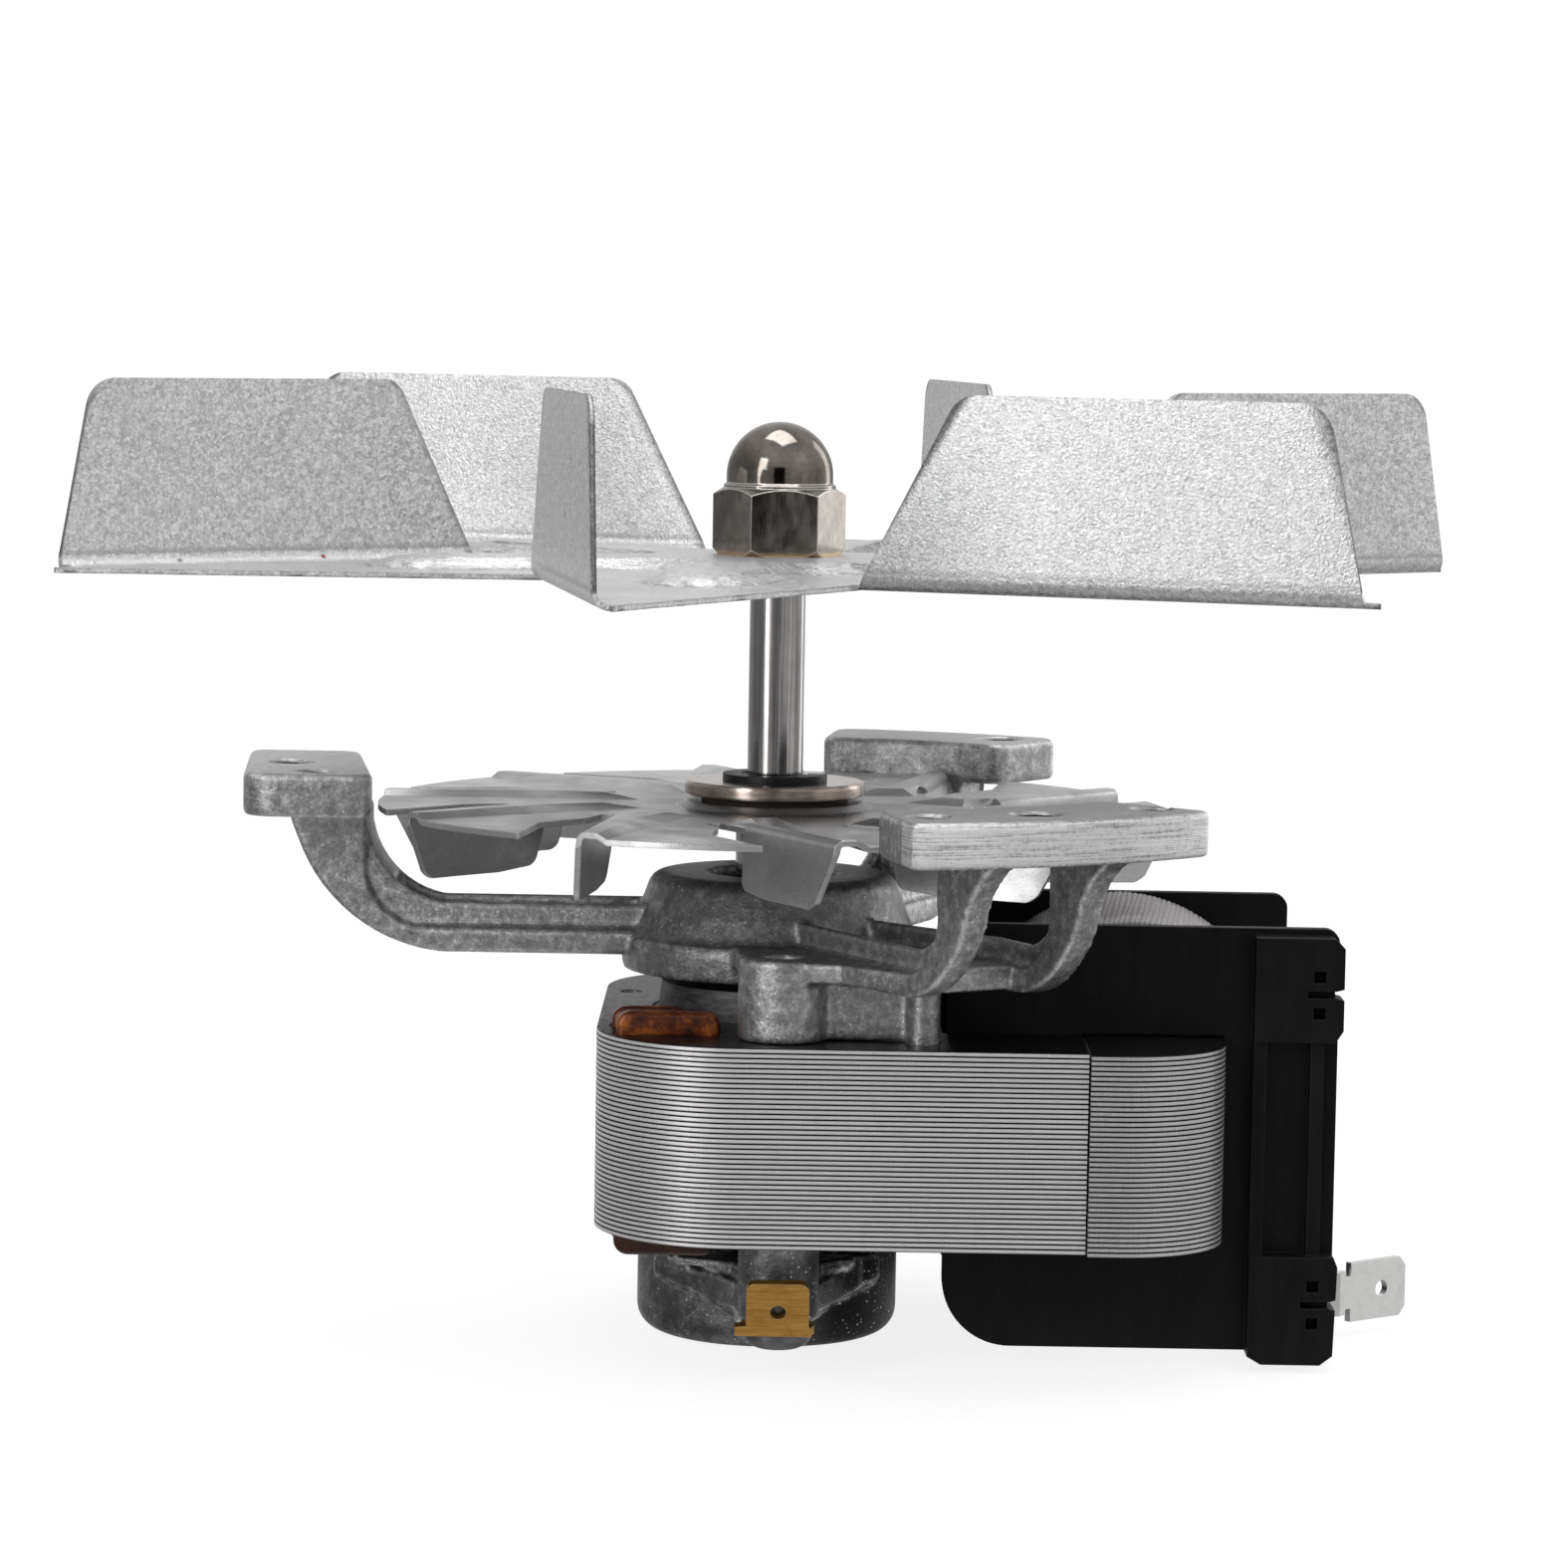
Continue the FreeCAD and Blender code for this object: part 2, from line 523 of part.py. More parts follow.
# hub: a dome with a flat top ring, a skirt, and the seat of the bush
hub_out = revolve([
    (0, Z_HUB_TOP), (11.4, Z_HUB_TOP), ('A', (12.5, -11.15), (13.1, -12.2)), (14.9, -16.9), (15.7, -17.3),
    (15.9, -18.2), (15.6, Z_HUB_BOT), (0, Z_HUB_BOT)])
seat = revolve([
    (0, 0), (R_HUB_HOLE, 0), (R_HUB_HOLE, -12.3), (6.4, -12.5), (6.4, -12.85), (7.6, -13.6), (9.0, -14.6), (9.0, -19.4),
    (9.5, -19.4), (9.5, -30), (0, -30)])

boss_f = cyl(4.5, Z_STK[1], -16.7, SCREW_X, -SCREW_Y)
boss_b = cyl(4.5, Z_STK[1], -16.7, SCREW_X, SCREW_Y)
boss_f = fillet_where(boss_f, 0.5, lambda e: abs(e.BoundBox.ZMin + 16.7) < 1e-3 and e.BoundBox.ZLength < 1e-3)
web_f = prism_z([(-4.2, -12), (-3.2, -23.0), (2.0, -27.6), (6.8, -28.4), (12.3, -33.7), (15.6, -30.5), (11.5, -12)],
                ZA0 + 0.2, -16.9)
web_b = prism_z([(-4.2, 12), (-3.2, 23.0), (2.0, 27.6), (8.0, 27.0), (11.0, 24.0), (11.5, 12)],
                ZA0 + 0.2, -16.9)
rib_f = box(3.5, 14.6, -24.4, -21.8, Z_STK[1] + 0.1, -18.0)
rib_b = box(-9.0, 0.5, 21.8, 24.4, Z_STK[1] + 0.1, -18.0)
# locating pins, which stand in blind holes of the stack
pin_f = cyl(1.65, -27.4, -17.5, 15.4, -24.7)
pin_b = cyl(1.65, -27.4, -17.5, -9.6, 23.1)
ext_f = prism_z([(11, -20), (11, -29), (15.4, -29.5), (17.2, -26.8), (16.8, -23.2), (14.5, -22)], ZA0 + 0.2, -16.9)
ext_b = prism_z([(-1, 16), (-9.6, 20.9), (-11.6, 22.2), (-11.6, 24.2), (-9.6, 25.3), (0, 26)], ZA0 + 0.2, -16.9)

fb = hub_out
for piece in (arm_l, arm_b, leg_a, leg_b, link, web_f, web_b, boss_f, boss_b, rib_f, rib_b,
              ext_f, ext_b, pin_f, pin_b, foot_l, foot_f, foot_b):
    fb = fb.fuse(piece)
fb = fb.cut(seat)
holes = []
for a in (180, -60, 60):
    x, y = polar(R_PCD, a)
    holes.append(cyl(R_FIX, -30, 5, x, y))
for x, y in ((-46.9, -10.6), (14.9, -47.9), (37.0, -36.2)):
    holes.append(cyl(R_EXTRA, -T_FOOT - 1, 5, x, y))
for sy in (-1, 1):
    holes.append(cyl(R_SCREW + 0.03, -30, -10, SCREW_X, sy * SCREW_Y))
# the fixing holes go through the feet and stop short of the legs below
fix = []
for h in holes[:3]:
    fix.append(h.common(box(-80, 80, -80, 80, -T_FOOT - 0.01, 6)))
fb = fb.cut(fix[0].multiFuse(fix[1:] + holes[3:]))
parts["front_bracket"] = single(fb.removeSplitter())

# --------------------------------------------------------------- rear bracket
cup_out = revolve([
    (0, Z_CUP), (R_CUP - 2.6, Z_CUP), ('A', (R_CUP - 0.76, Z_CUP + 0.76), (R_CUP, Z_CUP + 2.6)),
    (R_CUP, Z_STK[0]), (0, Z_STK[0])])
cup_in = revolve([
    (0, -57.5), (6.2, -57.5), (6.5, -57.2), (6.5, -56.65), (7.6, -55.9), (9.0, -54.9), (9.0, -50.1), (9.5, -50.1), (9.5, -49.3),
    (12.6, -49.0), (12.6, -40), (0, -40)])
rb = cup_out.cut(cup_in)
# openings at the front and the back of the cup, lower beside the screw bosses
arch = prism_y([(-10.4, -40), (-10.4, -49.2), (-9.0, -50.2), (-6.1, -51.1), (-3.9, -52.1), (4.6, -52.1), (6.0, -51.3),
                (8.2, -50.5), (9.6, -49.2), (9.6, -40)], -20, 20)
arch = arch.cut(cyl(11.2, -60, -49.0))
rb = rb.cut(arch)
# flared walls that run down from the cup to the screw bosses
flare_l = [(-13.3, -49.9), (-10.4, -49.3), (-9.0, -50.2), (-6.1, -51.1), (-3.4, -52.2), (-2.4, -52.2), (-2.4, -55.2),
           (-3.4, -55.0), (-4.5, -54.3), (-7.1, -53.3), (-10.5, -52.4), (-13.3, -51.7)]
flare_r = [(12.8, -49.9), (9.6, -49.3), (8.2, -50.5), (6.0, -51.3), (4.8, -52.0), (4.2, -52.0), (4.2, -55.2),
           (5.2, -54.6), (8.4, -53.2), (11.0, -52.4), (12.8, -52.0)]
for sy in (-1, 1):
    for fl_pts, tip in ((flare_l, [(-8.6, sy * 11.0), (-6.0, sy * 13.9), (-3.2, sy * 18.2), (-1.8, sy * 18.2), (-1.8, sy * 11.0)]),
                        (flare_r, [(9.8, sy * 11.0), (7.6, sy * 13.6), (5.4, sy * 18.2), (4.0, sy * 18.2), (4.0, sy * 11.0)])):
        zone = cyl(R_CUP + 0.7, -60, -40).fuse(prism_z(tip, -56, -48))
        y0, y1 = sorted((sy * 8.0, sy * 19.0))
        rb = rb.fuse(prism_y(fl_pts, y0, y1).common(zone))
for sy in (-1, 1):
    b = cyl(4.1, Z_REAR_BOSS, Z_STK[0], SCREW_X, sy * SCREW_Y)
    web = prism_z([(-7.5, sy * 11.0), (-3.0, sy * 20.5), (-2.6, sy * 24.5), (5.0, sy * 24.5), (5.4, sy * 20.5), (9.0, sy * 10.0)],
                  Z_REAR_BOSS, -50.6)
    keel = box(-2.2, 4.6, min(sy * 12.6, sy * 21), max(sy * 12.6, sy * 21), Z_REAR_BOSS, -49.6)
    # thin shelf that ties the boss to the cup
    shelf = prism_z([(-9.8, sy * 10.5), (-9.3, sy * 13.6), (-3.6, sy * 16.2), (-2.4, sy * 20.6), (4.8, sy * 20.6),
                     (5.6, sy * 16.0), (8.9, sy * 13.2), (9.3, sy * 10.5)], -50.0, -49.15)
    rb = rb.multiFuse([b, web, keel, shelf])
rb = rb.cut(cup_in)
for sy in (-1, 1):
    rb = rb.cut(cyl(R_SCREW_HOLE, -60, -40, SCREW_X, sy * SCREW_Y))
parts["rear_bracket"] = single(rb.removeSplitter())

# -------------------------------------------------------------- stator stack
r = STK_CORNER
x0, x1 = STK_X
stk = prism_z([
    (x0, -STK_Y + r), ('A', (x0 + r * (1 - math.cos(math.radians(45))), -STK_Y + r * (1 - math.sin(math.radians(45)))),
                       (x0 + r, -STK_Y)),
    (x1, -STK_Y), (x1, -WIN_Y), (WIN_X + 1.5, -WIN_Y), ('A', (WIN_X + 0.44, -WIN_Y + 0.44), (WIN_X, -WIN_Y + 1.5)),
    (WIN_X, WIN_Y - 1.5), ('A', (WIN_X + 0.44, WIN_Y - 0.44), (WIN_X + 1.5, WIN_Y)), (x1, WIN_Y), (x1, STK_Y),
    (x0 + r, STK_Y), ('A', (x0 + r * (1 - math.cos(math.radians(45))), STK_Y - r * (1 - math.sin(math.radians(45)))),
                      (x0, STK_Y - r))], Z_STK[0], Z_STK[1])
cuts = [cyl(R_BORE, -60, 0)]
for sy in (-1, 1):
    cuts.append(cyl(R_SCREW_HOLE, -60, 0, SCREW_X, sy * SCREW_Y))
cuts.append(cyl(1.15, -60, 0, -15.0, 11.3))
cuts.append(cyl(1.15, -60, 0, 15.0, -11.3))
cuts.append(cyl(1.75, -27.6, 0, 15.4, -24.7))
cuts.append(cyl(1.75, -27.6, 0, -9.6, 23.1))

# shading rings: (name, leg x from, leg x to, plane y, wire half thickness)
RINGS = [("shading_ring_front_outer", -14.4, -6.2, -20.9, 1.15),
         ("shading_ring_front_inner", -15.2, -9.4, -15.2, 1.0)]


def ring(xa, xb, y, w, over):
    """Closed rectangular ring of square wire round the stack height."""
    zt, zb = Z_STK[1] + over, Z_STK[0] - over
    outer = box(xa - w, xb + w, y - w, y + w, zb - w, zt + w)
    inner = box(xa + w, xb - w, y - 2 * w, y + 2 * w, zb + w, zt - w)
    outer = fillet_where(outer, 1.5,
                         lambda e: e.BoundBox.YLength > 1 and e.BoundBox.XLength < 0.01 and e.BoundBox.ZLength < 0.01)
    outer = fillet_where(outer, 0.7, lambda e: e.BoundBox.YLength < 0.01)
    return outer.cut(inner)


for name, xa, xb, y, w in RINGS:
    over = w + 0.02
    s = ring(xa, xb, y, w, over)
    parts[name] = s
    # the rear pair is turned half round; its outer ring keeps clear of the screw boss
    shift = 1.2 if "outer" in name else 0.0
    s2 = rotz(s, 180)
    s2.translate(V(shift, 0, 0))
    parts[name.replace("front", "rear")] = s2
    for xx in (xa, xb):
        c = w + 0.12
        slot = box(xx - c, xx + c, y - c, y + c, -60, 0)
        cuts.append(slot)
        slot2 = rotz(slot, 180)
        slot2.translate(V(shift, 0, 0))
        cuts.append(slot2)
stk = stk.cut(cuts[0].multiFuse(cuts[1:]))
parts["stator_stack"] = single(stk.removeSplitter())

# ------------------------------------------------------------------ coil core
r = CORE_CORNER
k45 = 1 - math.sin(math.radians(45))
cc = prism_z([
    (CORE_X[0], -CORE_Y), (CORE_X[1] - r, -CORE_Y),
    ('A', (CORE_X[1] - r * k45, -CORE_Y + r * k45), (CORE_X[1], -CORE_Y + r)),
    (CORE_X[1], CORE_Y - r), ('A', (CORE_X[1] - r * k45, CORE_Y - r * k45), (CORE_X[1] - r, CORE_Y)),
    (CORE_X[0], CORE_Y)], Z_STK[0] - 0.1, Z_STK[1] - 0.1)
parts["coil_core"] = cc

# --------------------------------------------------------------------- bobbin
gx0, gx1 = CORE_X[0] - 0.15, CORE_X[1] + 0.15
gz0, gz1 = Z_STK[0] - 0.25, Z_STK[1] + 0.15
bx0, bx1 = BOB_X
bz0, bz1 = BOB_Z
BOB_X_BACK = 55.3           # the rear flange is a little shorter


def flange(x1):
    return [(bx0, bz0 + 7.0), ('A', (bx0 + 2.05, bz0 + 2.05), (bx0 + 7.0, bz0)), (x1 - 1.5, bz0),
            ('A', (x1 - 0.44, bz0 + 0.44), (x1, bz0 + 1.5)), (x1, bz1 - 1.5), ('A', (x1 - 0.44, bz1 - 0.44), (x1 - 1.5, bz1)),
            (bx0 + 2.5, bz1), (bx0, bz1 - 2.5)]


bob = box(gx0 - T_TUBE, gx1 + T_TUBE, -BOB_Y + 0.2, BOB_Y - 0.2, gz0 - T_TUBE, gz1 + T_TUBE)
pieces = []
for sy, x1, dx in ((-1, bx1, 0.0), (1, BOB_X_BACK, -2.8)):
    ya, yb = sorted((sy * (BOB_Y - T_FLANGE), sy * BOB_Y))
    pieces.append(prism_y(flange(x1), ya, yb))
    # terminal blocks, proud of the flange
    yc, yd = sorted((sy * (BOB_Y - T_FLANGE), sy * (BOB_Y + 2.6)))
    ub = prism_y([(49.0 + dx, -25.2), (57.2 + dx, -25.2), (58.0 + dx, -24.0), (58.0 + dx, -15.6), (57.0 + dx, -14.6),
                  (49.0 + dx, -14.6)], yc, yd)
    lb = prism_y([(49.0, -57.5), (50.4, -58.3), (56.4, -58.3), (57.7, -57.3), (58.0, -48.2), (57.6, -47.2), (49.0, -47.2)], yc, yd)
    pieces += [ub, lb]
    # two ribs between the blocks
    ye, yf = sorted((sy * BOB_Y, sy * (BOB_Y + 1.7)))
    pieces.append(box(49.0, 50.4, ye, yf, -47.4, -25.0))
    pieces.append(box(54.8 + 0.5 * dx, 56.2 + 0.5 * dx, ye, yf, -47.4, -25.0))
# bridge across the bottom, which carries the terminals
pieces.append(box(52.6, 57.4, -BOB_Y + 0.5, BOB_Y - 0.5, -57.3, -51.0))
bob = bob.multiFuse(pieces)
bcut = [box(gx0, gx1, -40, 40, gz0, gz1)]
# blind square pockets in the front blocks
for zc in (-18.5, -22.2, -50.2, -54.0):
    bcut.append(box(54.9, 56.1, -BOB_Y - 4, -BOB_Y - 0.6, zc - 0.6, zc + 0.6))
# notch in the outer edge of each front block, and a blind slot that runs in from it
for zc in (-20.3, -52.1):
    bcut.append(prism_y([(60, zc - 1.1), (57.9, zc - 0.55), (57.2, zc - 0.35), (57.2, zc + 0.35), (57.9, zc + 0.55), (60, zc + 1.1)],
                        -BOB_Y - 4, -BOB_Y + 3.0))
    bcut.append(box(54.3, 57.4, -BOB_Y - 4, -BOB_Y - 1.0, zc - 0.35, zc + 0.35))
# slot of the side terminal in the bridge
bcut.append(box(54.6, 60, -0.35, 0.65, -56.9, -52.1))
# slot of the rear terminal in the rear block
bcut.append(box(50.6, 53.4, 14.6, 30, -54.9, -54.1))
bob = bob.cut(bcut[0].multiFuse(bcut[1:]))
parts["bobbin"] = single(bob.removeSplitter())


# -------------------------------------------------------------------- winding
def oval(a, b, y0, y1):
    w = []
    e = Part.Ellipse(V(COIL_C[0], y0, COIL_C[1] + b), V(COIL_C[0] + a, y0, COIL_C[1]), V(COIL_C[0], y0, COIL_C[1])).toShape()
    return Part.Face(Part.Wire([e])).extrude(V(0, y1 - y0, 0))


yi = BOB_Y - T_FLANGE
tube_void = box(gx0 - T_TUBE, gx1 + T_TUBE, -30, 30, gz0 - T_TUBE, gz1 + T_TUBE)
inner = oval(COIL_A[0] - T_TAPE, COIL_A[1] - T_TAPE, -yi + 0.1, yi - 0.1)
parts["winding"] = single(inner.cut(tube_void))
tape = oval(COIL_A[0], COIL_A[1], -yi + 0.1, yi - 0.1).cut(inner)
parts["winding_tape"] = single(tape)

# ------------------------------------------------------------------ terminals
T_TAB = 0.8


def tab_plan(pts):
    return pts


# side terminal: a strip out of the bridge, then a 6.3 mm tab turned 38 degrees back
zc = -54.5
neck = box(54.7, 60.4, -0.25, 0.55, zc - 2.35, zc + 2.35)
tabp = [(0, -2.35), (1.2, -2.35), (1.2, -1.75), (1.9, -1.75), (1.9, -3.15), (9.1, -3.15), (9.9, -2.2), (9.9, 2.2), (9.1, 3.15), (1.9, 3.15),
        (1.9, 1.75), (1.2, 1.75), (1.2, 2.35), (0, 2.35)]
tab = prism_y([(x, z) for x, z in tabp], -T_TAB / 2, T_TAB / 2)
tab = tab.cut(Part.makeCylinder(0.85, 4, V(6.4, -2, 0), V(0, 1, 0)))
tab = fillet_where(tab, 0.25, lambda e: False)
tab.rotate(V(0, 0, 0), V(0, 0, 1), 38)
tab.translate(V(59.9, 0.15, zc))
parts["side_terminal"] = single(neck.fuse(tab).removeSplitter())

# rear terminal: same tab, straight out of the rear block
rt = prism_z([(50.75, 14.9), (53.25, 14.9), (53.25, 20.6), (55.15, 20.6), (55.15, 27.2), (54.3, 28.2), (49.7, 28.2), (48.85, 27.2), (48.85, 20.6),
              (50.75, 20.6)], -54.9, -54.1)
rt = rt.cut(cyl(0.85, -60, -50, 52.0, 24.4))
parts["rear_terminal"] = rt

# ------------------------------------------------------------------ earth tab
sx, sy = SCREW_X, -SCREW_Y
fl = box(sx - 3.65, sx + 3.65, sy - 4.5, sy + 3.6, Z_REAR_BOSS - 0.8, Z_REAR_BOSS)
fl = fl.cut(cyl(R_SCREW_HOLE, -60, -50, sx, sy))
# tab folded up in front of the boss, leaning forward
et = prism_y([(-4.3, 0), (3.45, 0), (3.45, 0.95), (3.15, 1.2), (3.15, 5.4), ('A', (2.87, 6.02), (2.3, 6.3)), (-2.3, 6.3),
              ('A', (-2.87, 6.02), (-3.15, 5.4)), (-3.15, 1.2), (-4.3, 1.05)], -0.8, 0)
et = et.cut(Part.makeCylinder(0.8, 4, V(0.05, -2, 2.9), V(0, 1, 0)))
et.rotate(V(0, 0, 0), V(1, 0, 0), 24)
et.translate(V(sx, sy - 4.5 + 0.7, Z_REAR_BOSS - 0.8 + 0.05))
parts["earth_tab"] = single(fl.fuse(et).removeSplitter())


# ---------------------------------------------------------------- long screws
def frame_screw(y, z_seat):
    head = revolve([(0, z_seat), (3.4, z_seat), (3.4, z_seat - 1.2), ('A', (2.7, z_seat - 1.9), (1.4, z_seat - 2.2)), (0, z_seat - 2.2)])
    s = head.fuse(cyl(R_SCREW, z_seat, -17.6))
    s = s.cut(box(-4, 4, -0.5, 0.5, z_seat - 3, z_seat - 1.2))
    s.translate(V(SCREW_X, y, 0))
    return s.removeSplitter()


parts["front_frame_screw"] = frame_screw(-SCREW_Y, Z_REAR_BOSS - 0.8)
parts["rear_frame_screw"] = frame_screw(SCREW_Y, Z_REAR_BOSS)

# ---------------------------------------------------------------------- output
os.makedirs("parts", exist_ok=True)
for name in sorted(parts):
    s = parts[name]
    if len(s.Solids) != 1 or not s.isValid():
        print("CHECK %s solids %d valid %s" % (name, len(s.Solids), s.isValid()))
    b = s.BoundBox
    print("%-26s vol %9.1f  x %.2f %.2f  y %.2f %.2f  z %.2f %.2f" % (
        name, s.Volume, b.XMin, b.XMax, b.YMin, b.YMax, b.ZMin, b.ZMax))
    s.exportStep("parts/%s.step" % name)
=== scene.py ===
import json
import math
import random

import bmesh
import bpy
from mathutils import Matrix, Vector


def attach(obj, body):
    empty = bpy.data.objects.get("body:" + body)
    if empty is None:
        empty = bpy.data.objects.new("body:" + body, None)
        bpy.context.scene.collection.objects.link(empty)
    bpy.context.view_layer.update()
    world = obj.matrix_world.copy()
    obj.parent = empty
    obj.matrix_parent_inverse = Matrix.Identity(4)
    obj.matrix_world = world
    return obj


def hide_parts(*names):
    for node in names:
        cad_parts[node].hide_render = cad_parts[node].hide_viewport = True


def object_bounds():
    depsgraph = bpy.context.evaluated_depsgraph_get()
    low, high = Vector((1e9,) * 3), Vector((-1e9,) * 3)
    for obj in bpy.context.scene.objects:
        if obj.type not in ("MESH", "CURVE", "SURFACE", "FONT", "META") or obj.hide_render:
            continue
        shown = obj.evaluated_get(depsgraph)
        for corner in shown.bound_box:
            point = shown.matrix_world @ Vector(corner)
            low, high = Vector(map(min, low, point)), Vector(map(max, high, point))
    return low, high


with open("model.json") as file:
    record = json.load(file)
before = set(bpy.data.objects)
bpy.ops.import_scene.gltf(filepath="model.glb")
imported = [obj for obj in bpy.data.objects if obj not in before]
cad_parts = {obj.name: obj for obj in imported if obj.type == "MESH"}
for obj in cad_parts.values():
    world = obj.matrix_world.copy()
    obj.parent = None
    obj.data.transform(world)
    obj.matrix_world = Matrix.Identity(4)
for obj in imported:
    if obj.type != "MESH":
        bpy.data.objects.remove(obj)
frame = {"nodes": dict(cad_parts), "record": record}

MM = 0.001
cad_lo, cad_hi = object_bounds()
scene = bpy.context.scene
nodes = frame["nodes"]


# ------------------------------------------------------------------ node helper
class Tree:
    """Small wrapper that builds a material's nodes."""

    def __init__(self, name, **shader):
        self.m = bpy.data.materials.new(name)
        self.m.use_nodes = True
        self.t = self.m.node_tree
        self.t.nodes.clear()
        self.out = self.t.nodes.new("ShaderNodeOutputMaterial")
        self.p = self.t.nodes.new("ShaderNodeBsdfPrincipled")
        self.t.links.new(self.p.outputs[0], self.out.inputs[0])
        for k, v in shader.items():
            self.p.inputs[k.replace("_", " ")].default_value = v
        tc = self.t.nodes.new("ShaderNodeTexCoord")
        self.obj = self.n("ShaderNodeVectorMath", "SCALE", [tc.outputs["Object"]], Scale=1000.0)
        self.geo = self.t.nodes.new("ShaderNodeNewGeometry")

    def n(self, kind, op=None, ins=(), out=0, **named):
        """New node; ins are its first inputs, named ones are set by name. Returns an output socket."""
        node = self.t.nodes.new(kind)
        if op is not None:
            node.operation = op
        for i, v in enumerate(ins):
            self.put(node.inputs[i], v)
        for k, v in named.items():
            self.put(node.inputs[k], v)
        return node.outputs[out]

    def put(self, socket, v):
        if isinstance(v, bpy.types.NodeSocket):
            self.t.links.new(v, socket)
        elif v is not None:
            socket.default_value = v

    def math(self, op, a, b=0.0, c=0.0):
        return self.n("ShaderNodeMath", op, [a, b, c])

    def vec(self, v, scale=(1, 1, 1), rot=(0, 0, 0), loc=(0, 0, 0)):
        node = self.t.nodes.new("ShaderNodeMapping")
        self.put(node.inputs[0], v)
        node.inputs["Location"].default_value = loc
        node.inputs["Rotation"].default_value = rot
        node.inputs["Scale"].default_value = scale
        return node.outputs[0]

    def noise(self, v, scale, detail=3.0, rough=0.55, dist=0.0, out=0):
        node = self.t.nodes.new("ShaderNodeTexNoise")
        self.put(node.inputs["Vector"], v)
        node.inputs["Scale"].default_value = scale
        node.inputs["Detail"].default_value = detail
        node.inputs["Roughness"].default_value = rough
        node.inputs["Distortion"].default_value = dist
        return node.outputs[out]

    def cells(self, v, scale, feature="F1", out="Distance", rand=1.0):
        node = self.t.nodes.new("ShaderNodeTexVoronoi")
        node.feature = feature
        self.put(node.inputs["Vector"], v)
        node.inputs["Scale"].default_value = scale
        node.inputs["Randomness"].default_value = rand
        return node.outputs[out]

    def ramp(self, f, stops, mode="LINEAR"):
        node = self.t.nodes.new("ShaderNodeValToRGB")
        cr = node.color_ramp
        cr.interpolation = mode
        while len(cr.elements) > 1:
            cr.elements.remove(cr.elements[-1])
        for i, (pos, col) in enumerate(stops):
            if not hasattr(col, "__len__"):
                col = (col, col, col)
            e = cr.elements[0] if i == 0 else cr.elements.new(pos)
            e.position = pos
            e.color = (col[0], col[1], col[2], 1)
        self.put(node.inputs[0], f)
        return node.outputs[0]

    def mix(self, f, a, b, mode="MIX"):
        node = self.t.nodes.new("ShaderNodeMix")
        node.data_type = "RGBA"
        node.blend_type = mode
        self.put(node.inputs[0], f)
        for s, v in ((node.inputs[6], a), (node.inputs[7], b)):
            if isinstance(v, tuple) and len(v) == 3:
                v = (*v, 1)
            self.put(s, v)
        return node.outputs[2]

    def bump(self, h, strength, dist=0.05, normal=None):
        """dist in mm."""
        node = self.t.nodes.new("ShaderNodeBump")
        node.inputs["Strength"].default_value = strength
        node.inputs["Distance"].default_value = dist * MM
        self.put(node.inputs["Height"], h)
        if normal is not None:
            self.put(node.inputs["Normal"], normal)
        return node.outputs[0]

    def bevel(self, radius, samples=2):
        node = self.t.nodes.new("ShaderNodeBevel")
        node.samples = samples
        node.inputs["Radius"].default_value = radius * MM
        return node.outputs[0]

    def edge(self, bevel, lo=0.004, hi=0.06):
        """1 where the rounded normal leaves the true one: along edges."""
        d = self.n("ShaderNodeVectorMath", "DOT_PRODUCT", [bevel, self.geo.outputs["True Normal"]], out="Value")
        k = self.math("SUBTRACT", 1.0, d)
        return self.ramp(k, [(lo, 0.0), (hi, 1.0)])

    def sep(self, v):
        node = self.t.nodes.new("ShaderNodeSeparateXYZ")
        self.put(node.inputs[0], v)
        return node.outputs

    def facing(self, axis=2):
        """Size of one component of the true normal."""
        return self.math("ABSOLUTE", self.sep(self.geo.outputs["True Normal"])[axis])

    def finish(self, color, rough=None, normal=None):
        self.put(self.p.inputs["Base Color"], color)
        if rough is not None:
            self.put(self.p.inputs["Roughness"], rough)
        if normal is not None:
            self.put(self.p.inputs["Normal"], normal)
        return self.m


# -------------------------------------------------------------------- materials
# bores through the feet: x, y, radius in mm
FOOT_HOLES = [(-50.5, 0.0, 2.5), (25.25, -43.73, 2.5), (25.25, 43.73, 2.5),
              (-46.9, -10.6, 2.1), (14.9, -47.9, 2.1), (37.0, -36.2, 2.1)]


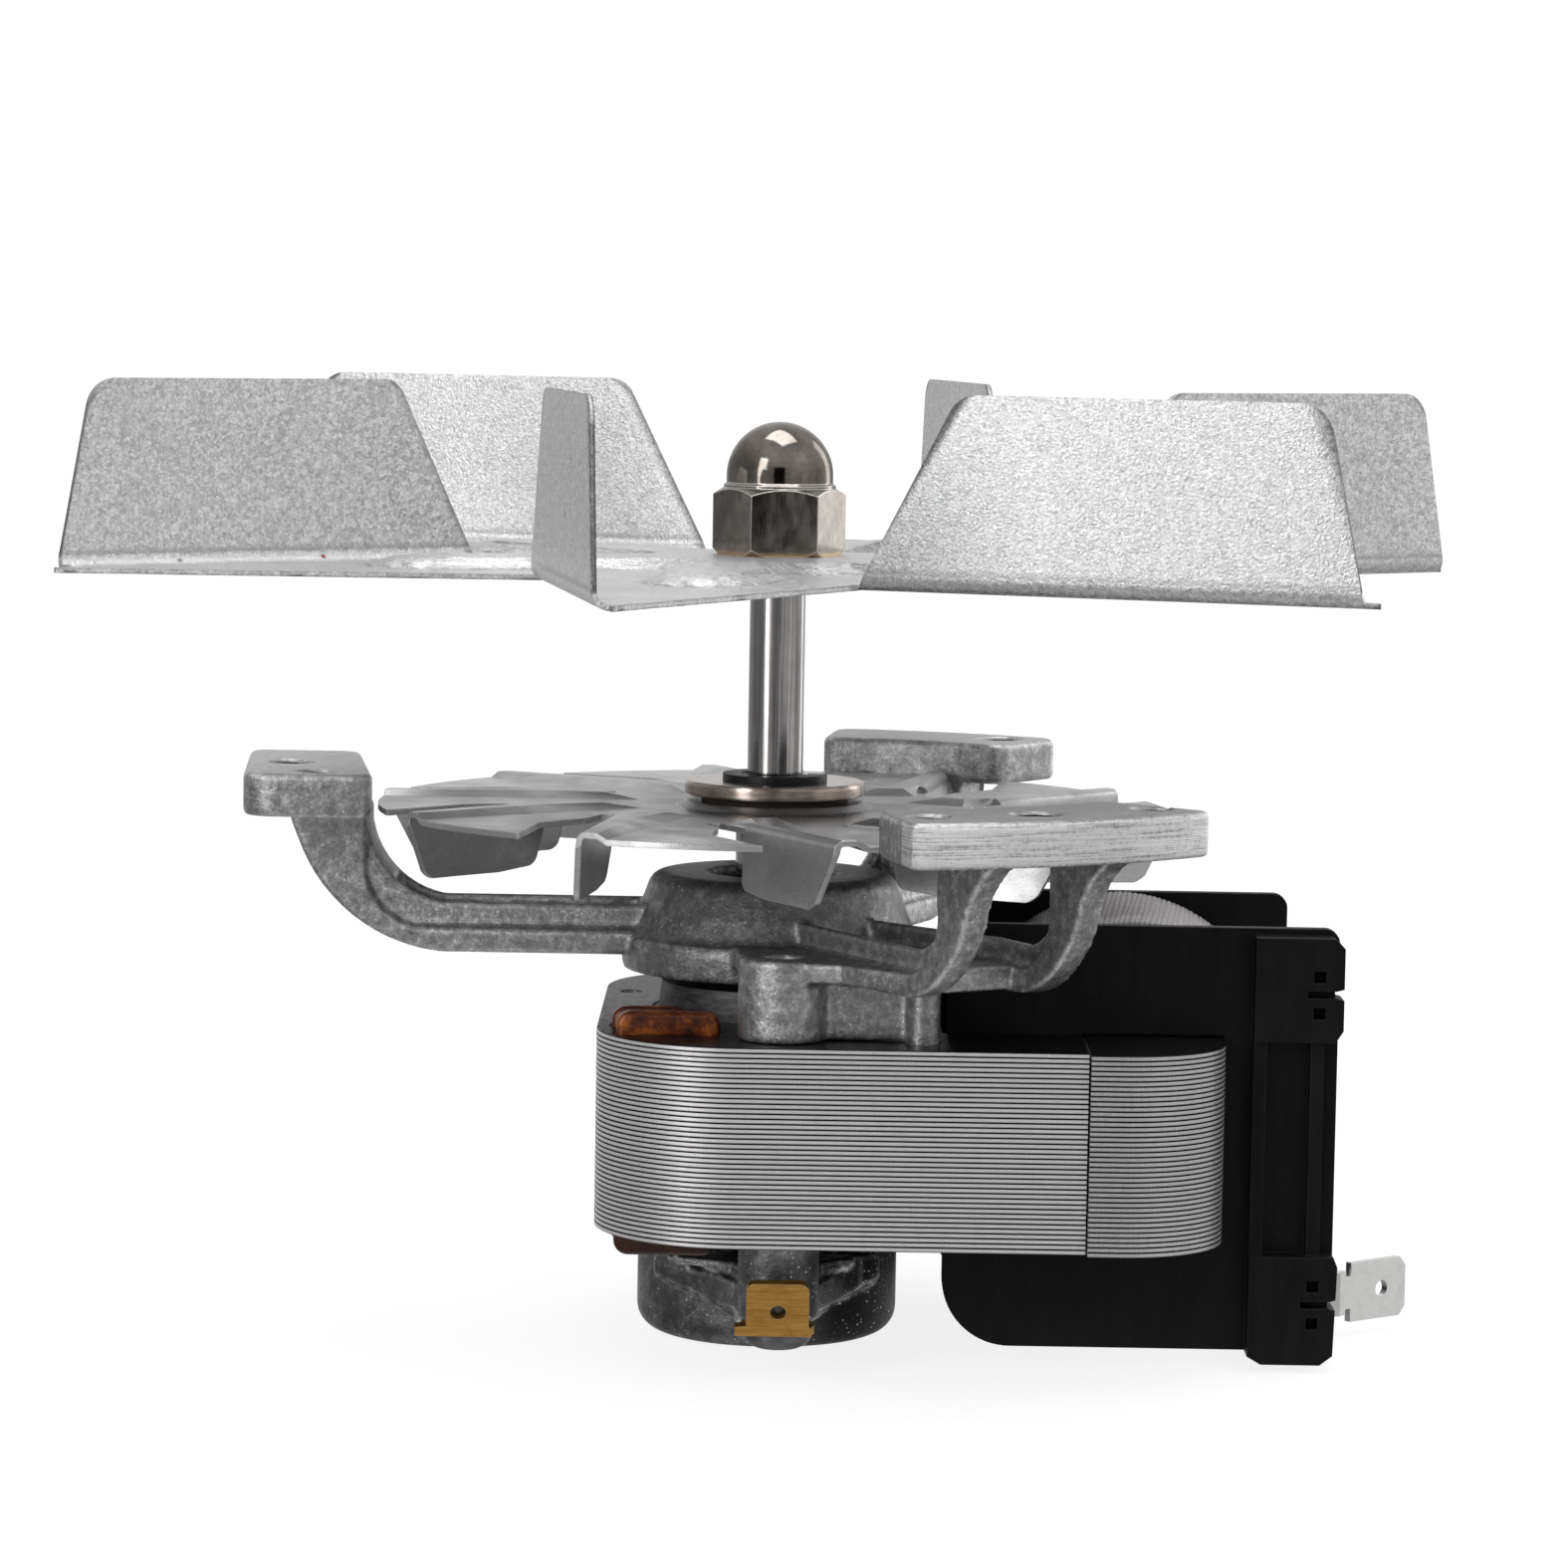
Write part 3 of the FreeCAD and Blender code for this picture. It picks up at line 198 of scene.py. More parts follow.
def impeller_sheet():
    t = Tree("impeller_sheet", Metallic=0.9)
    b = t.bevel(0.34)
    warp = t.mix(0.5, t.obj, t.noise(t.obj, 1.9, 2, out=1), "ADD")
    g = t.sep(t.cells(warp, 2.3, out="Color"))[0]
    g2 = t.sep(t.cells(warp, 4.6, out="Color"))[1]
    fine = t.noise(t.obj, 6.5, 4, 0.7)
    cloud = t.noise(t.obj, 0.035, 3, 0.6)
    mixed = t.math("ADD", t.math("MULTIPLY_ADD", g, 0.30, t.math("MULTIPLY", g2, 0.25)), t.math("MULTIPLY", fine, 0.45))
    col = t.ramp(mixed, [(0.24, (0.42, 0.425, 0.43)), (0.44, (0.62, 0.62, 0.625)), (0.58, (0.76, 0.76, 0.76)), (0.72, (1.0, 1.0, 1.0))])
    col = t.mix(t.ramp(cloud, [(0.35, 0.0), (0.7, 0.22)]), col, (0.58, 0.585, 0.59))
    # light flecks of the coating
    fl = t.noise(t.vec(t.obj, (1, 1, 1), (0.4, 0.2, 0.1)), 3.1, 3, 0.6)
    col = t.mix(t.ramp(fl, [(0.57, 0.0), (0.65, 0.85)]), col, (1.0, 1.0, 1.0))
    # fine drawn scratches
    sc = t.noise(t.vec(t.obj, (0.25, 6, 6), (0.3, 0.1, 0.6)), 1.0, 2)
    col = t.mix(t.ramp(sc, [(0.68, 0.0), (0.76, 0.18)]), col, (0.97, 0.97, 0.97))
    # painted shade: the pressed plate's upward faces below z 23.4 are darkened, in patches
    x, y, z = t.sep(t.obj)
    plate_top_shade = t.math("MULTIPLY", t.math("LESS_THAN", z, 23.4), t.math("GREATER_THAN", t.sep(t.geo.outputs["True Normal"])[2], 0.4))
    col = t.mix(t.math("MULTIPLY", plate_top_shade, t.ramp(t.noise(t.obj, 0.10, 4, 0.6), [(0.35, 0.38), (0.65, 0.74)])), col, (0.50, 0.50, 0.505))
    # painted reflection: the fold below the blade is lightened, with a painted shadow line where it meets the blade
    upright = t.ramp(t.facing(2), [(0.55, 1.0), (0.95, 0.0)])
    fold_reflection = t.math("MULTIPLY", upright, t.ramp(t.math("MULTIPLY_ADD", z, 0.25, -5.0), [(0.50, 1.0), (0.56, 0.0)]))
    col = t.mix(t.math("MULTIPLY", fold_reflection, 0.25), col, (0.90, 0.90, 0.90))
    fold_shadow_line = t.math("MULTIPLY", upright, t.ramp(t.math("MULTIPLY_ADD", z, 0.25, -5.0), [(0.54, 0.0), (0.58, 1.0), (0.63, 1.0), (0.74, 0.0)]))
    col = t.mix(t.math("MULTIPLY", fold_shadow_line, t.ramp(fine, [(0.35, 0.75), (0.65, 0.40)])), col, (0.40, 0.40, 0.405))
    # specks of dirt
    sp = t.cells(t.obj, 0.062, out="Distance")
    speck = t.ramp(sp, [(0.0, 1.0), (0.014, 1.0), (0.020, 0.0)])
    col = t.mix(speck, col, (0.16, 0.09, 0.08))
    for px, py, pz, pr, pc in ((-47.2, -2.9, 21.4, 0.34, (0.24, 0.03, 0.04)), (-60.8, -13.9, 21.2, 0.45, (0.10, 0.09, 0.09)),
                               (-20.1, -52.3, 28.4, 0.28, (0.05, 0.05, 0.05)), (-19.4, -56.7, 33.8, 0.22, (0.05, 0.05, 0.05))):
        d = t.n("ShaderNodeVectorMath", "DISTANCE", [t.obj, (px, py, pz)], out="Value")
        d = t.math("ADD", d, t.math("MULTIPLY", fine, 0.3))
        col = t.mix(t.ramp(t.math("MULTIPLY", d, 0.5), [(0.5 * (pr + 0.10), 1.0), (0.5 * (pr + 0.28), 0.0)]), col, pc)
    # sheared edges are dull and dark
    edge = t.edge(b, 0.006, 0.07)
    col = t.mix(t.math("MULTIPLY", edge, t.ramp(fine, [(0.35, 0.88), (0.65, 0.50)])), col, (0.10, 0.10, 0.103))
    rough = t.ramp(t.math("ADD", t.math("MULTIPLY", g, 0.5), t.math("MULTIPLY", fine, 0.5)), [(0.25, 0.30), (0.75, 0.50)])
    h = t.math("ADD", t.math("MULTIPLY", g, 0.9), t.math("MULTIPLY", t.noise(t.obj, 3.6, 3, 0.6), 1.9))
    return t.finish(col, rough, t.bump(h, 0.75, 0.06, b))


def fan_sheet():
    t = Tree("fan_sheet", Metallic=0.95)
    b = t.bevel(0.2)
    fine = t.noise(t.obj, 5.0, 3, 0.6)
    cloud = t.noise(t.obj, 0.12, 4, 0.6)
    roll = t.noise(t.vec(t.obj, (0.15, 4, 4), (0, 0, 0.5)), 1.0, 3)
    col = t.ramp(t.math("ADD", t.math("MULTIPLY", fine, 0.35), t.math("MULTIPLY", roll, 0.65)),
                 [(0.3, (0.56, 0.56, 0.56)), (0.7, (0.74, 0.74, 0.74))])
    col = t.mix(t.ramp(cloud, [(0.38, 0.0), (0.66, 0.55)]), col, (0.36, 0.36, 0.365))
    # handled round the hub: darker
    r = t.n("ShaderNodeVectorMath", "LENGTH", [t.vec(t.obj, (1, 1, 0))], out="Value")
    col = t.mix(t.ramp(t.math("MULTIPLY", r, 0.02), [(0.26, 0.75), (0.58, 0.0)]), col, (0.25, 0.25, 0.255))
    pits = t.noise(t.obj, 1.9, 5, 0.65)
    col = t.mix(t.ramp(pits, [(0.60, 0.0), (0.70, 0.5)]), col, (0.24, 0.24, 0.245))
    col = t.mix(t.math("MULTIPLY", t.edge(b, 0.004, 0.05), t.ramp(pits, [(0.40, 0.9), (0.60, 0.25)])), col, (0.98, 0.98, 0.98))
    rough = t.ramp(cloud, [(0.3, 0.24), (0.7, 0.42)])
    return t.finish(col, rough, t.bump(t.math("ADD", fine, roll), 0.25, 0.02, b))


def nickel():
    t = Tree("nickel", Metallic=1.0)
    b = t.bevel(0.20, 4)
    fine = t.noise(t.obj, 7.0, 3, 0.6)
    cloud = t.noise(t.obj, 0.45, 3)
    mottle = t.noise(t.obj, 1.6, 4, 0.65)
    col = t.ramp(cloud, [(0.3, (0.155, 0.135, 0.12)), (0.7, (0.25, 0.23, 0.21))])
    col = t.mix(t.ramp(mottle, [(0.52, 0.0), (0.68, 0.5)]), col, (0.12, 0.10, 0.085))
    scr = t.noise(t.vec(t.obj, (9, 9, 0.6), (0.5, 0.2, 0)), 1.0, 2)
    rough = t.ramp(t.math("ADD", t.math("MULTIPLY", fine, 0.6), t.math("MULTIPLY", scr, 0.4)), [(0.35, 0.05), (0.7, 0.15)])
    col = t.mix(t.math("MULTIPLY", t.edge(b), 0.75), col, (1.0, 0.97, 0.93))
    # brown film left at the foot of the hexagon
    z = t.sep(t.obj)[2]
    foot = t.ramp(t.math("MULTIPLY_ADD", z, 1.0, -22.0), [(0.45, 0.8), (1.0, 0.0)])
    col = t.mix(foot, col, (0.62, 0.44, 0.24))
    wave = t.noise(t.vec(t.obj, (1, 1, 0.6)), 0.22, 2, 0.5)
    first = t.bump(wave, 0.32, 0.25, b)
    return t.finish(col, rough, t.bump(t.math("ADD", fine, scr), 0.08, 0.02, first))


def drawn_shaft():
    """Ground bar with long fine lines along it."""
    t = Tree("shaft_steel", Metallic=1.0)
    b = t.bevel(0.12)
    lines = t.noise(t.vec(t.obj, (5.5, 5.5, 0.05)), 1.0, 4, 0.65)
    rings = t.noise(t.vec(t.obj, (0.4, 0.4, 5.0)), 1.0, 4, 0.65)
    cloud = t.noise(t.obj, 0.5, 3)
    col = t.ramp(lines, [(0.32, (0.17, 0.165, 0.16)), (0.5, (0.36, 0.35, 0.345)), (0.66, (0.56, 0.55, 0.545))])
    col = t.mix(t.ramp(cloud, [(0.45, 0.0), (0.75, 0.25)]), col, (0.15, 0.145, 0.14))
    col = t.mix(t.math("MULTIPLY", t.edge(b), 0.6), col, (0.9, 0.9, 0.9))
    rough = t.ramp(t.math("ADD", t.math("MULTIPLY", lines, 0.6), t.math("MULTIPLY", rings, 0.4)), [(0.3, 0.08), (0.7, 0.18)])
    h = t.math("ADD", t.math("MULTIPLY", lines, 1.0), t.math("MULTIPLY", rings, 0.25))
    return t.finish(col, rough, t.bump(h, 0.22, 0.02, b))


def turned(name, lo, hi, r0, r1, metallic=1.0, pitch=9.0, strength=0.35, bev=0.12):
    """Turned or ground round surface: rings of fine tool marks about Z."""
    t = Tree(name, Metallic=metallic)
    b = t.bevel(bev)
    rings = t.noise(t.vec(t.obj, (0.4, 0.4, pitch)), 1.0, 4, 0.65)
    cloud = t.noise(t.obj, 0.5, 3)
    col = t.ramp(rings, [(0.3, lo), (0.7, hi)])
    col = t.mix(t.ramp(cloud, [(0.45, 0.0), (0.75, 0.3)]), col, tuple(0.7 * c for c in lo))
    col = t.mix(t.math("MULTIPLY", t.edge(b), 0.6), col, tuple(min(1.0, 1.35 * c) for c in hi))
    rough = t.ramp(t.math("ADD", t.math("MULTIPLY", rings, 0.6), t.math("MULTIPLY", cloud, 0.4)), [(0.3, r0), (0.7, r1)])
    return t.finish(col, rough, t.bump(rings, strength, 0.02, b))


def die_cast():
    t = Tree("die_cast", Metallic=0.88)
    b = t.bevel(0.40)
    grain = t.noise(t.obj, 3.2, 5, 0.62)
    mid = t.noise(t.obj, 0.9, 4, 0.6)
    cloud = t.noise(t.obj, 0.11, 4, 0.6)
    x, y, z = t.sep(t.obj)
    r = t.n("ShaderNodeVectorMath", "LENGTH", [t.vec(t.obj, (1, 1, 0))], out="Value")
    col = t.ramp(t.math("ADD", t.math("MULTIPLY", grain, 0.45), t.math("MULTIPLY", mid, 0.55)),
                 [(0.32, (0.165, 0.165, 0.165)), (0.50, (0.385, 0.385, 0.385)), (0.68, (0.82, 0.82, 0.82))])
    col = t.mix(t.ramp(cloud, [(0.35, 0.0), (0.68, 0.45)]), col, (0.28, 0.28, 0.28))
    # darker near the axis of the hub and cup, in blotches; painted shade darkens the casting towards the bottom
    inner = t.ramp(t.math("MULTIPLY", r, 0.05), [(0.78, 1.0), (0.95, 0.0)])
    low = t.ramp(t.math("MULTIPLY_ADD", z, -0.05, -1.6), [(0.60, 0.0), (0.78, 1.0)])
    blotch = t.noise(t.obj, 0.42, 5, 0.65)
    col = t.mix(t.math("MULTIPLY", inner, t.ramp(blotch, [(0.36, 0.15), (0.60, 0.60)])), col, (0.16, 0.16, 0.163))
    col = t.mix(t.math("MULTIPLY", low, t.ramp(blotch, [(0.36, 0.45), (0.58, 0.90)])), col, (0.085, 0.085, 0.088))
    # painted shadow: the lower right side of the cup is made near black
    lower_right_shadow = t.math("MULTIPLY", low, t.ramp(t.math("MULTIPLY_ADD", x, 0.05, 0.1), [(0.15, 0.0), (0.45, 0.97)]))
    col = t.mix(lower_right_shadow, col, (0.008, 0.008, 0.0085))
    # small bright fretted spots
    sp = t.cells(t.obj, 1.7, out="Distance")
    spots = t.math("MULTIPLY", t.ramp(sp, [(0.10, 1.0), (0.22, 0.0)]), t.ramp(mid, [(0.46, 0.0), (0.60, 0.9)]))
    col = t.mix(spots, col, (0.95, 0.95, 0.95))
    wear = t.math("MULTIPLY", t.edge(b, 0.003, 0.05), t.ramp(mid, [(0.36, 0.30), (0.58, 1.0)]))
    col = t.mix(wear, col, (1.0, 1.0, 1.0))
    rough = t.ramp(grain, [(0.3, 0.32), (0.7, 0.50)])
    # the outer faces and tops of the feet are linished: long scratches, brighter
    side = t.math("MULTIPLY", t.math("GREATER_THAN", r, 53.3), t.math("LESS_THAN", t.facing(2), 0.6))
    side = t.math("MULTIPLY", side, t.math("GREATER_THAN", z, -4.6))
    side = t.math("MULTIPLY", side, t.math("GREATER_THAN", x, -30.0))
    lines = t.noise(t.vec(t.obj, (0.10, 0.10, 5.5)), 1.0, 6, 0.75)
    nick = t.noise(t.obj, 2.6, 3, 0.6)
    mixl = t.math("ADD", t.math("MULTIPLY", lines, 0.78), t.math("MULTIPLY", nick, 0.22))
    lined = t.ramp(mixl, [(0.38, (0.26, 0.255, 0.255)), (0.45, (0.70, 0.695, 0.695)), (0.51, (0.96, 0.955, 0.955)), (0.60, (1.0, 1.0, 1.0))])
    col = t.mix(t.math("MULTIPLY", side, 0.9), col, lined)
    top = t.math("MULTIPLY", t.math("GREATER_THAN", z, -0.25), t.math("GREATER_THAN", r, 40.0))
    cross = t.noise(t.vec(t.obj, (0.3, 3.2, 1), (0, 0, 0.4)), 1.0, 4, 0.7)
    col = t.mix(t.math("MULTIPLY", top, 0.6), col, t.ramp(cross, [(0.3, (0.28, 0.28, 0.285)), (0.7, (0.74, 0.74, 0.745))]))
    # the bores of the feet are near black: oil with painted shade
    for hx, hy, hr in FOOT_HOLES:
        d = t.n("ShaderNodeVectorMath", "DISTANCE", [t.vec(t.obj, (1, 1, 0)), (hx, hy, 0.0)], out="Value")
        bore_oil_and_shade = t.math("MULTIPLY", t.ramp(t.math("MULTIPLY", d, 0.1), [(0.1 * (hr + 0.10), 1.0), (0.1 * (hr + 0.22), 0.0)]),
                      t.math("LESS_THAN", z, -0.35))
        col = t.mix(bore_oil_and_shade, col, (0.012, 0.012, 0.013))
    h = t.math("ADD", t.math("MULTIPLY", grain, 0.8), t.math("MULTIPLY", mid, 1.6))
    h = t.mix(side, h, t.math("MULTIPLY", lines, 3.0))
    return t.finish(col, rough, t.bump(h, 0.75, 0.08, b))


def sheet_stack(name, side_lo, side_hi, top, foot, pitch):
    """Lamination pack: bright sheared edges, dark varnished faces."""
    t = Tree(name, Metallic=0.62)
    isl = t.geo.outputs["Random Per Island"]
    fine = t.noise(t.vec(t.obj, (1.6, 1.6, 6)), 1.0, 4, 0.65)
    tear = t.noise(t.vec(t.obj, (5, 5, 0.4)), 1.0, 3)
    side = t.ramp(t.math("ADD", t.math("MULTIPLY", fine, 0.6), t.math("MULTIPLY", tear, 0.4)), [(0.3, side_lo), (0.7, side_hi)])
    side = t.mix(t.math("MULTIPLY", isl, 0.15), side, tuple(0.72 * c for c in side_lo))
    rust = t.noise(t.obj, 0.35, 4, 0.6)
    side = t.mix(t.ramp(rust, [(0.60, 0.0), (0.78, 0.22)]), side, (0.42, 0.35, 0.32))
    # each sheet is burnished where the punch cut it and dull where it tore
    at = t.n("ShaderNodeMath", "FRACT", [t.math("MULTIPLY_ADD", t.sep(t.obj)[2], 1.0 / pitch, -foot / pitch)])
    tear_f = t.ramp(at, [(0.0, 1.0), (0.16, 0.80), (0.34, 0.0), (0.80, 0.0), (0.95, 0.9)])
    side = t.mix(t.math("MULTIPLY", tear_f, 0.93), side, (0.065, 0.06, 0.06))
    face = t.ramp(t.noise(t.obj, 1.2, 4, 0.6), [(0.3, top), (0.7, tuple(1.9 * c for c in top))])
    up = t.math("GREATER_THAN", t.facing(2), 0.7)
    col = t.mix(up, side, face)
    rough = t.ramp(fine, [(0.3, 0.30), (0.7, 0.46)])
    return t.finish(col, rough, t.bump(t.math("ADD", fine, tear), 0.35, 0.03))


def black_moulding():
    t = Tree("black_moulding", Metallic=0.0, Specular_IOR_Level=0.16)
    b = t.bevel(0.22)
    fine = t.noise(t.obj, 4.5, 4, 0.6)
    flow = t.noise(t.vec(t.obj, (0.5, 0.5, 0.12)), 1.0, 4, 0.6)
    col = t.ramp(flow, [(0.3, (0.003, 0.003, 0.0035)), (0.7, (0.008, 0.008, 0.0085))])
    col = t.mix(t.math("MULTIPLY", t.edge(b), 0.35), col, (0.06, 0.06, 0.062))
    fibre = t.noise(t.vec(t.obj, (7, 7, 0.8), (0.3, 0.2, 0.1)), 1.0, 3)
    col = t.mix(t.ramp(fibre, [(0.66, 0.0), (0.74, 0.35)]), col, (0.035, 0.035, 0.036))
    rough = t.ramp(fine, [(0.3, 0.42), (0.7, 0.58)])
    return t.finish(col, rough, t.bump(t.math("ADD", fine, flow), 0.3, 0.03, b))


def enamelled_copper():
    t = Tree("enamelled_copper", Metallic=0.15, Coat_Weight=0.35, Coat_Roughness=0.12, Specular_IOR_Level=0.3)
    b = t.bevel(0.35)
    fine = t.noise(t.obj, 2.2, 4, 0.6)
    run = t.noise(t.obj, 0.45, 4, 0.65)
    col = t.ramp(run, [(0.34, (0.030, 0.005, 0.002)), (0.50, (0.13, 0.026, 0.005)), (0.64, (0.38, 0.10, 0.014)), (0.78, (0.62, 0.22, 0.04))])
    col = t.mix(t.ramp(fine, [(0.58, 0.0), (0.74, 0.6)]), col, (0.035, 0.008, 0.005))
    # painted shade: below z -40 the rings are nearly black
    z = t.sep(t.obj)[2]
    col = t.mix(t.math("MULTIPLY", t.math("LESS_THAN", z, -40.0), 0.85), col, (0.020, 0.004, 0.003))
    rough = t.ramp(fine, [(0.3, 0.26), (0.7, 0.46)])
    return t.finish(col, rough, t.bump(t.math("ADD", fine, t.math("MULTIPLY", run, 2.0)), 0.6, 0.10, b))


def winding_copper():
    t = Tree("winding_copper", Metallic=0.8, Coat_Weight=0.5, Coat_Roughness=0.15)
    turns = t.noise(t.vec(t.obj, (1, 9, 1)), 1.0, 2)
    cloud = t.noise(t.obj, 0.4, 3)
    col = t.ramp(t.math("ADD", t.math("MULTIPLY", turns, 0.6), t.math("MULTIPLY", cloud, 0.4)),
                 [(0.3, (0.30, 0.09, 0.03)), (0.7, (0.72, 0.28, 0.10))])
    return t.finish(col, t.ramp(turns, [(0.3, 0.25), (0.7, 0.42)]), t.bump(turns, 0.6, 0.1))


def glass_thread():
    t = Tree("glass_thread", Metallic=0.0, Sheen_Weight=0.25)
    isl = t.noise(t.obj, 2.0, 3)
    ply = t.noise(t.vec(t.obj, (6, 6, 6)), 1.0, 3, 0.6)
    col = t.ramp(t.math("ADD", t.math("MULTIPLY", isl, 0.5), t.math("MULTIPLY", ply, 0.5)),
                 [(0.28, (0.20, 0.18, 0.185)), (0.5, (0.36, 0.33, 0.335)), (0.72, (0.66, 0.64, 0.64))])
    x, y, z = t.sep(t.obj)
    ex = t.math("MULTIPLY_ADD", x, 1.0 / 18.62, -37.2 / 18.62)
    ez = t.math("MULTIPLY_ADD", z, 1.0 / 21.42, 35.2 / 21.42)
    d = t.n("ShaderNodeMath", "SQRT", [t.math("ADD", t.math("MULTIPLY", ex, ex), t.math("MULTIPLY", ez, ez))])
    # painted shade: low is 1 where the wrap lies deepest, in the grooves between threads and towards the flanges, and
    # darkens them near black
    low = t.ramp(t.math("MULTIPLY_ADD", d, 50.0, -49.0), [(0.46, 1.0), (0.84, 0.0)])
    col = t.mix(t.math("MULTIPLY", low, 0.95), col, (0.03, 0.025, 0.025))
    return t.finish(col, t.ramp(ply, [(0.3, 0.5), (0.7, 0.75)]), t.bump(ply, 0.5, 0.06))


def soft(name, lo, hi, rough=(0.75, 0.92), scale=2.5, strength=0.6):
    t = Tree(name, Metallic=0.0)
    f = t.noise(t.obj, scale, 5, 0.65)
    g = t.noise(t.vec(t.obj, (1, 1, 3)), scale * 2.1, 3)
    col = t.ramp(t.math("ADD", t.math("MULTIPLY", f, 0.6), t.math("MULTIPLY", g, 0.4)), [(0.3, lo), (0.7, hi)])
    return t.finish(col, t.ramp(f, [(0.3, rough[0]), (0.7, rough[1])]), t.bump(t.math("ADD", f, g), strength, 0.08))


def plated(name, lo, hi, rough=(0.22, 0.38), edge=(0.95, 0.95, 0.95), stain=(0.35, 0.3, 0.25)):
    """Stamped and plated strip: fine rolling lines, stains, bright sheared edge."""
    t = Tree(name, Metallic=1.0)
    b = t.bevel(0.1)
    roll = t.noise(t.vec(t.obj, (0.3, 5, 5), (0, 0.05, 0.3)), 1.0, 3, 0.6)
    blot = t.noise(t.obj, 0.7, 4, 0.65)
    col = t.ramp(roll, [(0.3, lo), (0.7, hi)])
    col = t.mix(t.ramp(blot, [(0.48, 0.0), (0.72, 0.45)]), col, stain)
    col = t.mix(t.math("MULTIPLY", t.edge(b), 0.6), col, edge)
    return t.finish(col, t.ramp(blot, [(0.3, rough[0]), (0.7, rough[1])]), t.bump(t.math("ADD", roll, blot), 0.3, 0.03, b))


MATS = {
    "impeller_sheet": impeller_sheet(),
    "fan_sheet": fan_sheet(),
    "nickel": nickel(),
    "shaft_steel": drawn_shaft(),
    "black_spring_steel": turned("black_spring_steel", (0.006, 0.006, 0.007), (0.022, 0.022, 0.023), 0.35, 0.55, 0.5, 3.0),
    "washer_nickel": turned("washer_nickel", (0.30, 0.235, 0.20), (0.62, 0.55, 0.50), 0.10, 0.24, pitch=6.0, bev=0.35),
    "dark_fibre": soft("dark_fibre", (0.02, 0.012, 0.01), (0.06, 0.04, 0.032), scale=4.0),
    "cage_aluminium": turned("cage_aluminium", (0.03, 0.03, 0.03), (0.16, 0.16, 0.165), 0.35, 0.6, pitch=2.5),
    "die_cast": die_cast(),
    "sintered_bronze": soft("sintered_bronze", (0.30, 0.17, 0.07), (0.55, 0.35, 0.16), (0.4, 0.6), 6.0, 0.4),
    "spring_steel": plated("spring_steel", (0.40, 0.41, 0.43), (0.62, 0.63, 0.65)),
    "felt": soft("felt", (0.42, 0.36, 0.26), (0.66, 0.60, 0.48), (0.85, 0.97), 1.8, 0.9),
    "laminations": sheet_stack("laminations", (0.78, 0.765, 0.77), (0.92, 0.905, 0.91), (0.006, 0.006, 0.006), -45.3, 20.2 / 40),
    "core_laminations": sheet_stack("core_laminations", (0.50, 0.49, 0.495), (0.72, 0.71, 0.715), (0.006, 0.006, 0.006), -45.4, 20.2 / 40),
    "enamelled_copper": enamelled_copper(),
    "black_moulding": black_moulding(),
    "winding_copper": winding_copper(),
    "glass_thread": glass_thread(),
    "tinned_tab": plated("tinned_tab", (0.88, 0.875, 0.86), (0.97, 0.965, 0.955), (0.26, 0.42), stain=(0.72, 0.71, 0.69)),
    "brass_tab": plated("brass_tab", (0.50, 0.255, 0.055), (0.70, 0.41, 0.12), (0.34, 0.50), (1.0, 0.84, 0.55), (0.34, 0.15, 0.035)),
    "dark_screw_steel": turned("dark_screw_steel", (0.10, 0.10, 0.11), (0.24, 0.24, 0.25), 0.3, 0.5, 0.9, 2.5),
}

# which slot each CAD node takes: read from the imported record
SLOT = {}
for sp in frame["record"].get("subparts", []):
    if sp.get("material_slot"):
        SLOT[sp["node"]] = sp["material_slot"]
BODY = {}
for body, members in frame["record"]["behaviour"]["bodies"].items():
    for n in members:
        BODY[n] = body


def paint(obj, material):
    obj.data.materials.clear()
    obj.data.materials.append(material)


def slot_of(node):
    if node in SLOT:
        return SLOT[node]
    for m in frame["record"].get("materials", []):
        if node in (m.get("nodes") or []):
            return m["slot"]
    return None


for name, o in nodes.items():
    s = slot_of(name)
    if s in MATS:
        if len(o.material_slots):
            for ms in o.material_slots:
                ms.material = MATS[s]
        else:
            o.data.materials.append(MATS[s])
    else:
        print("no slot for", name, s)


# ------------------------------------------------------------- mesh work
def new_object(name, mesh, body, slot, replaces=(), smooth=True):
    o = bpy.data.objects.new(name, mesh)
    scene.collection.objects.link(o)
    mesh.materials.clear()
    mesh.materials.append(MATS[slot])
    if smooth:
        for p in mesh.polygons:
            p.use_smooth = True
    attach(o, body)
    if replaces:
        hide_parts(*replaces)
    return o


def evaluated(o):
    dg = bpy.context.evaluated_depsgraph_get()
    me = bpy.data.meshes.new_from_object(o.evaluated_get(dg))
    return me


def temp_from(node):
    o = bpy.data.objects.new("tmp_" + node, nodes[node].data.copy())
    scene.collection.objects.link(o)
    return o


def cast_copy(node, voxel, passes, ratio=None, slot=None, name=None):
    """Soft-edged copy of a CAD node, as a casting or moulding has: even remesh, smoothed, thinned."""
    o = temp_from(node)
    w = o.modifiers.new("weld", "WELD")
    w.merge_threshold = 0.00001
    r = o.modifiers.new("remesh", "REMESH")
    r.mode = "VOXEL"
    r.voxel_size = voxel * MM
    r.adaptivity = 0.0
    s = o.modifiers.new("smooth", "SMOOTH")
    s.factor = 0.5
    s.iterations = passes
    if ratio:
        d = o.modifiers.new("thin", "DECIMATE")
        d.ratio = ratio
    me = evaluated(o)
    bpy.data.objects.remove(o)
    me.name = (name or node) + "_mesh"
    return new_object(name or (node + "_look"), me, BODY[node], slot or slot_of(node), [node])


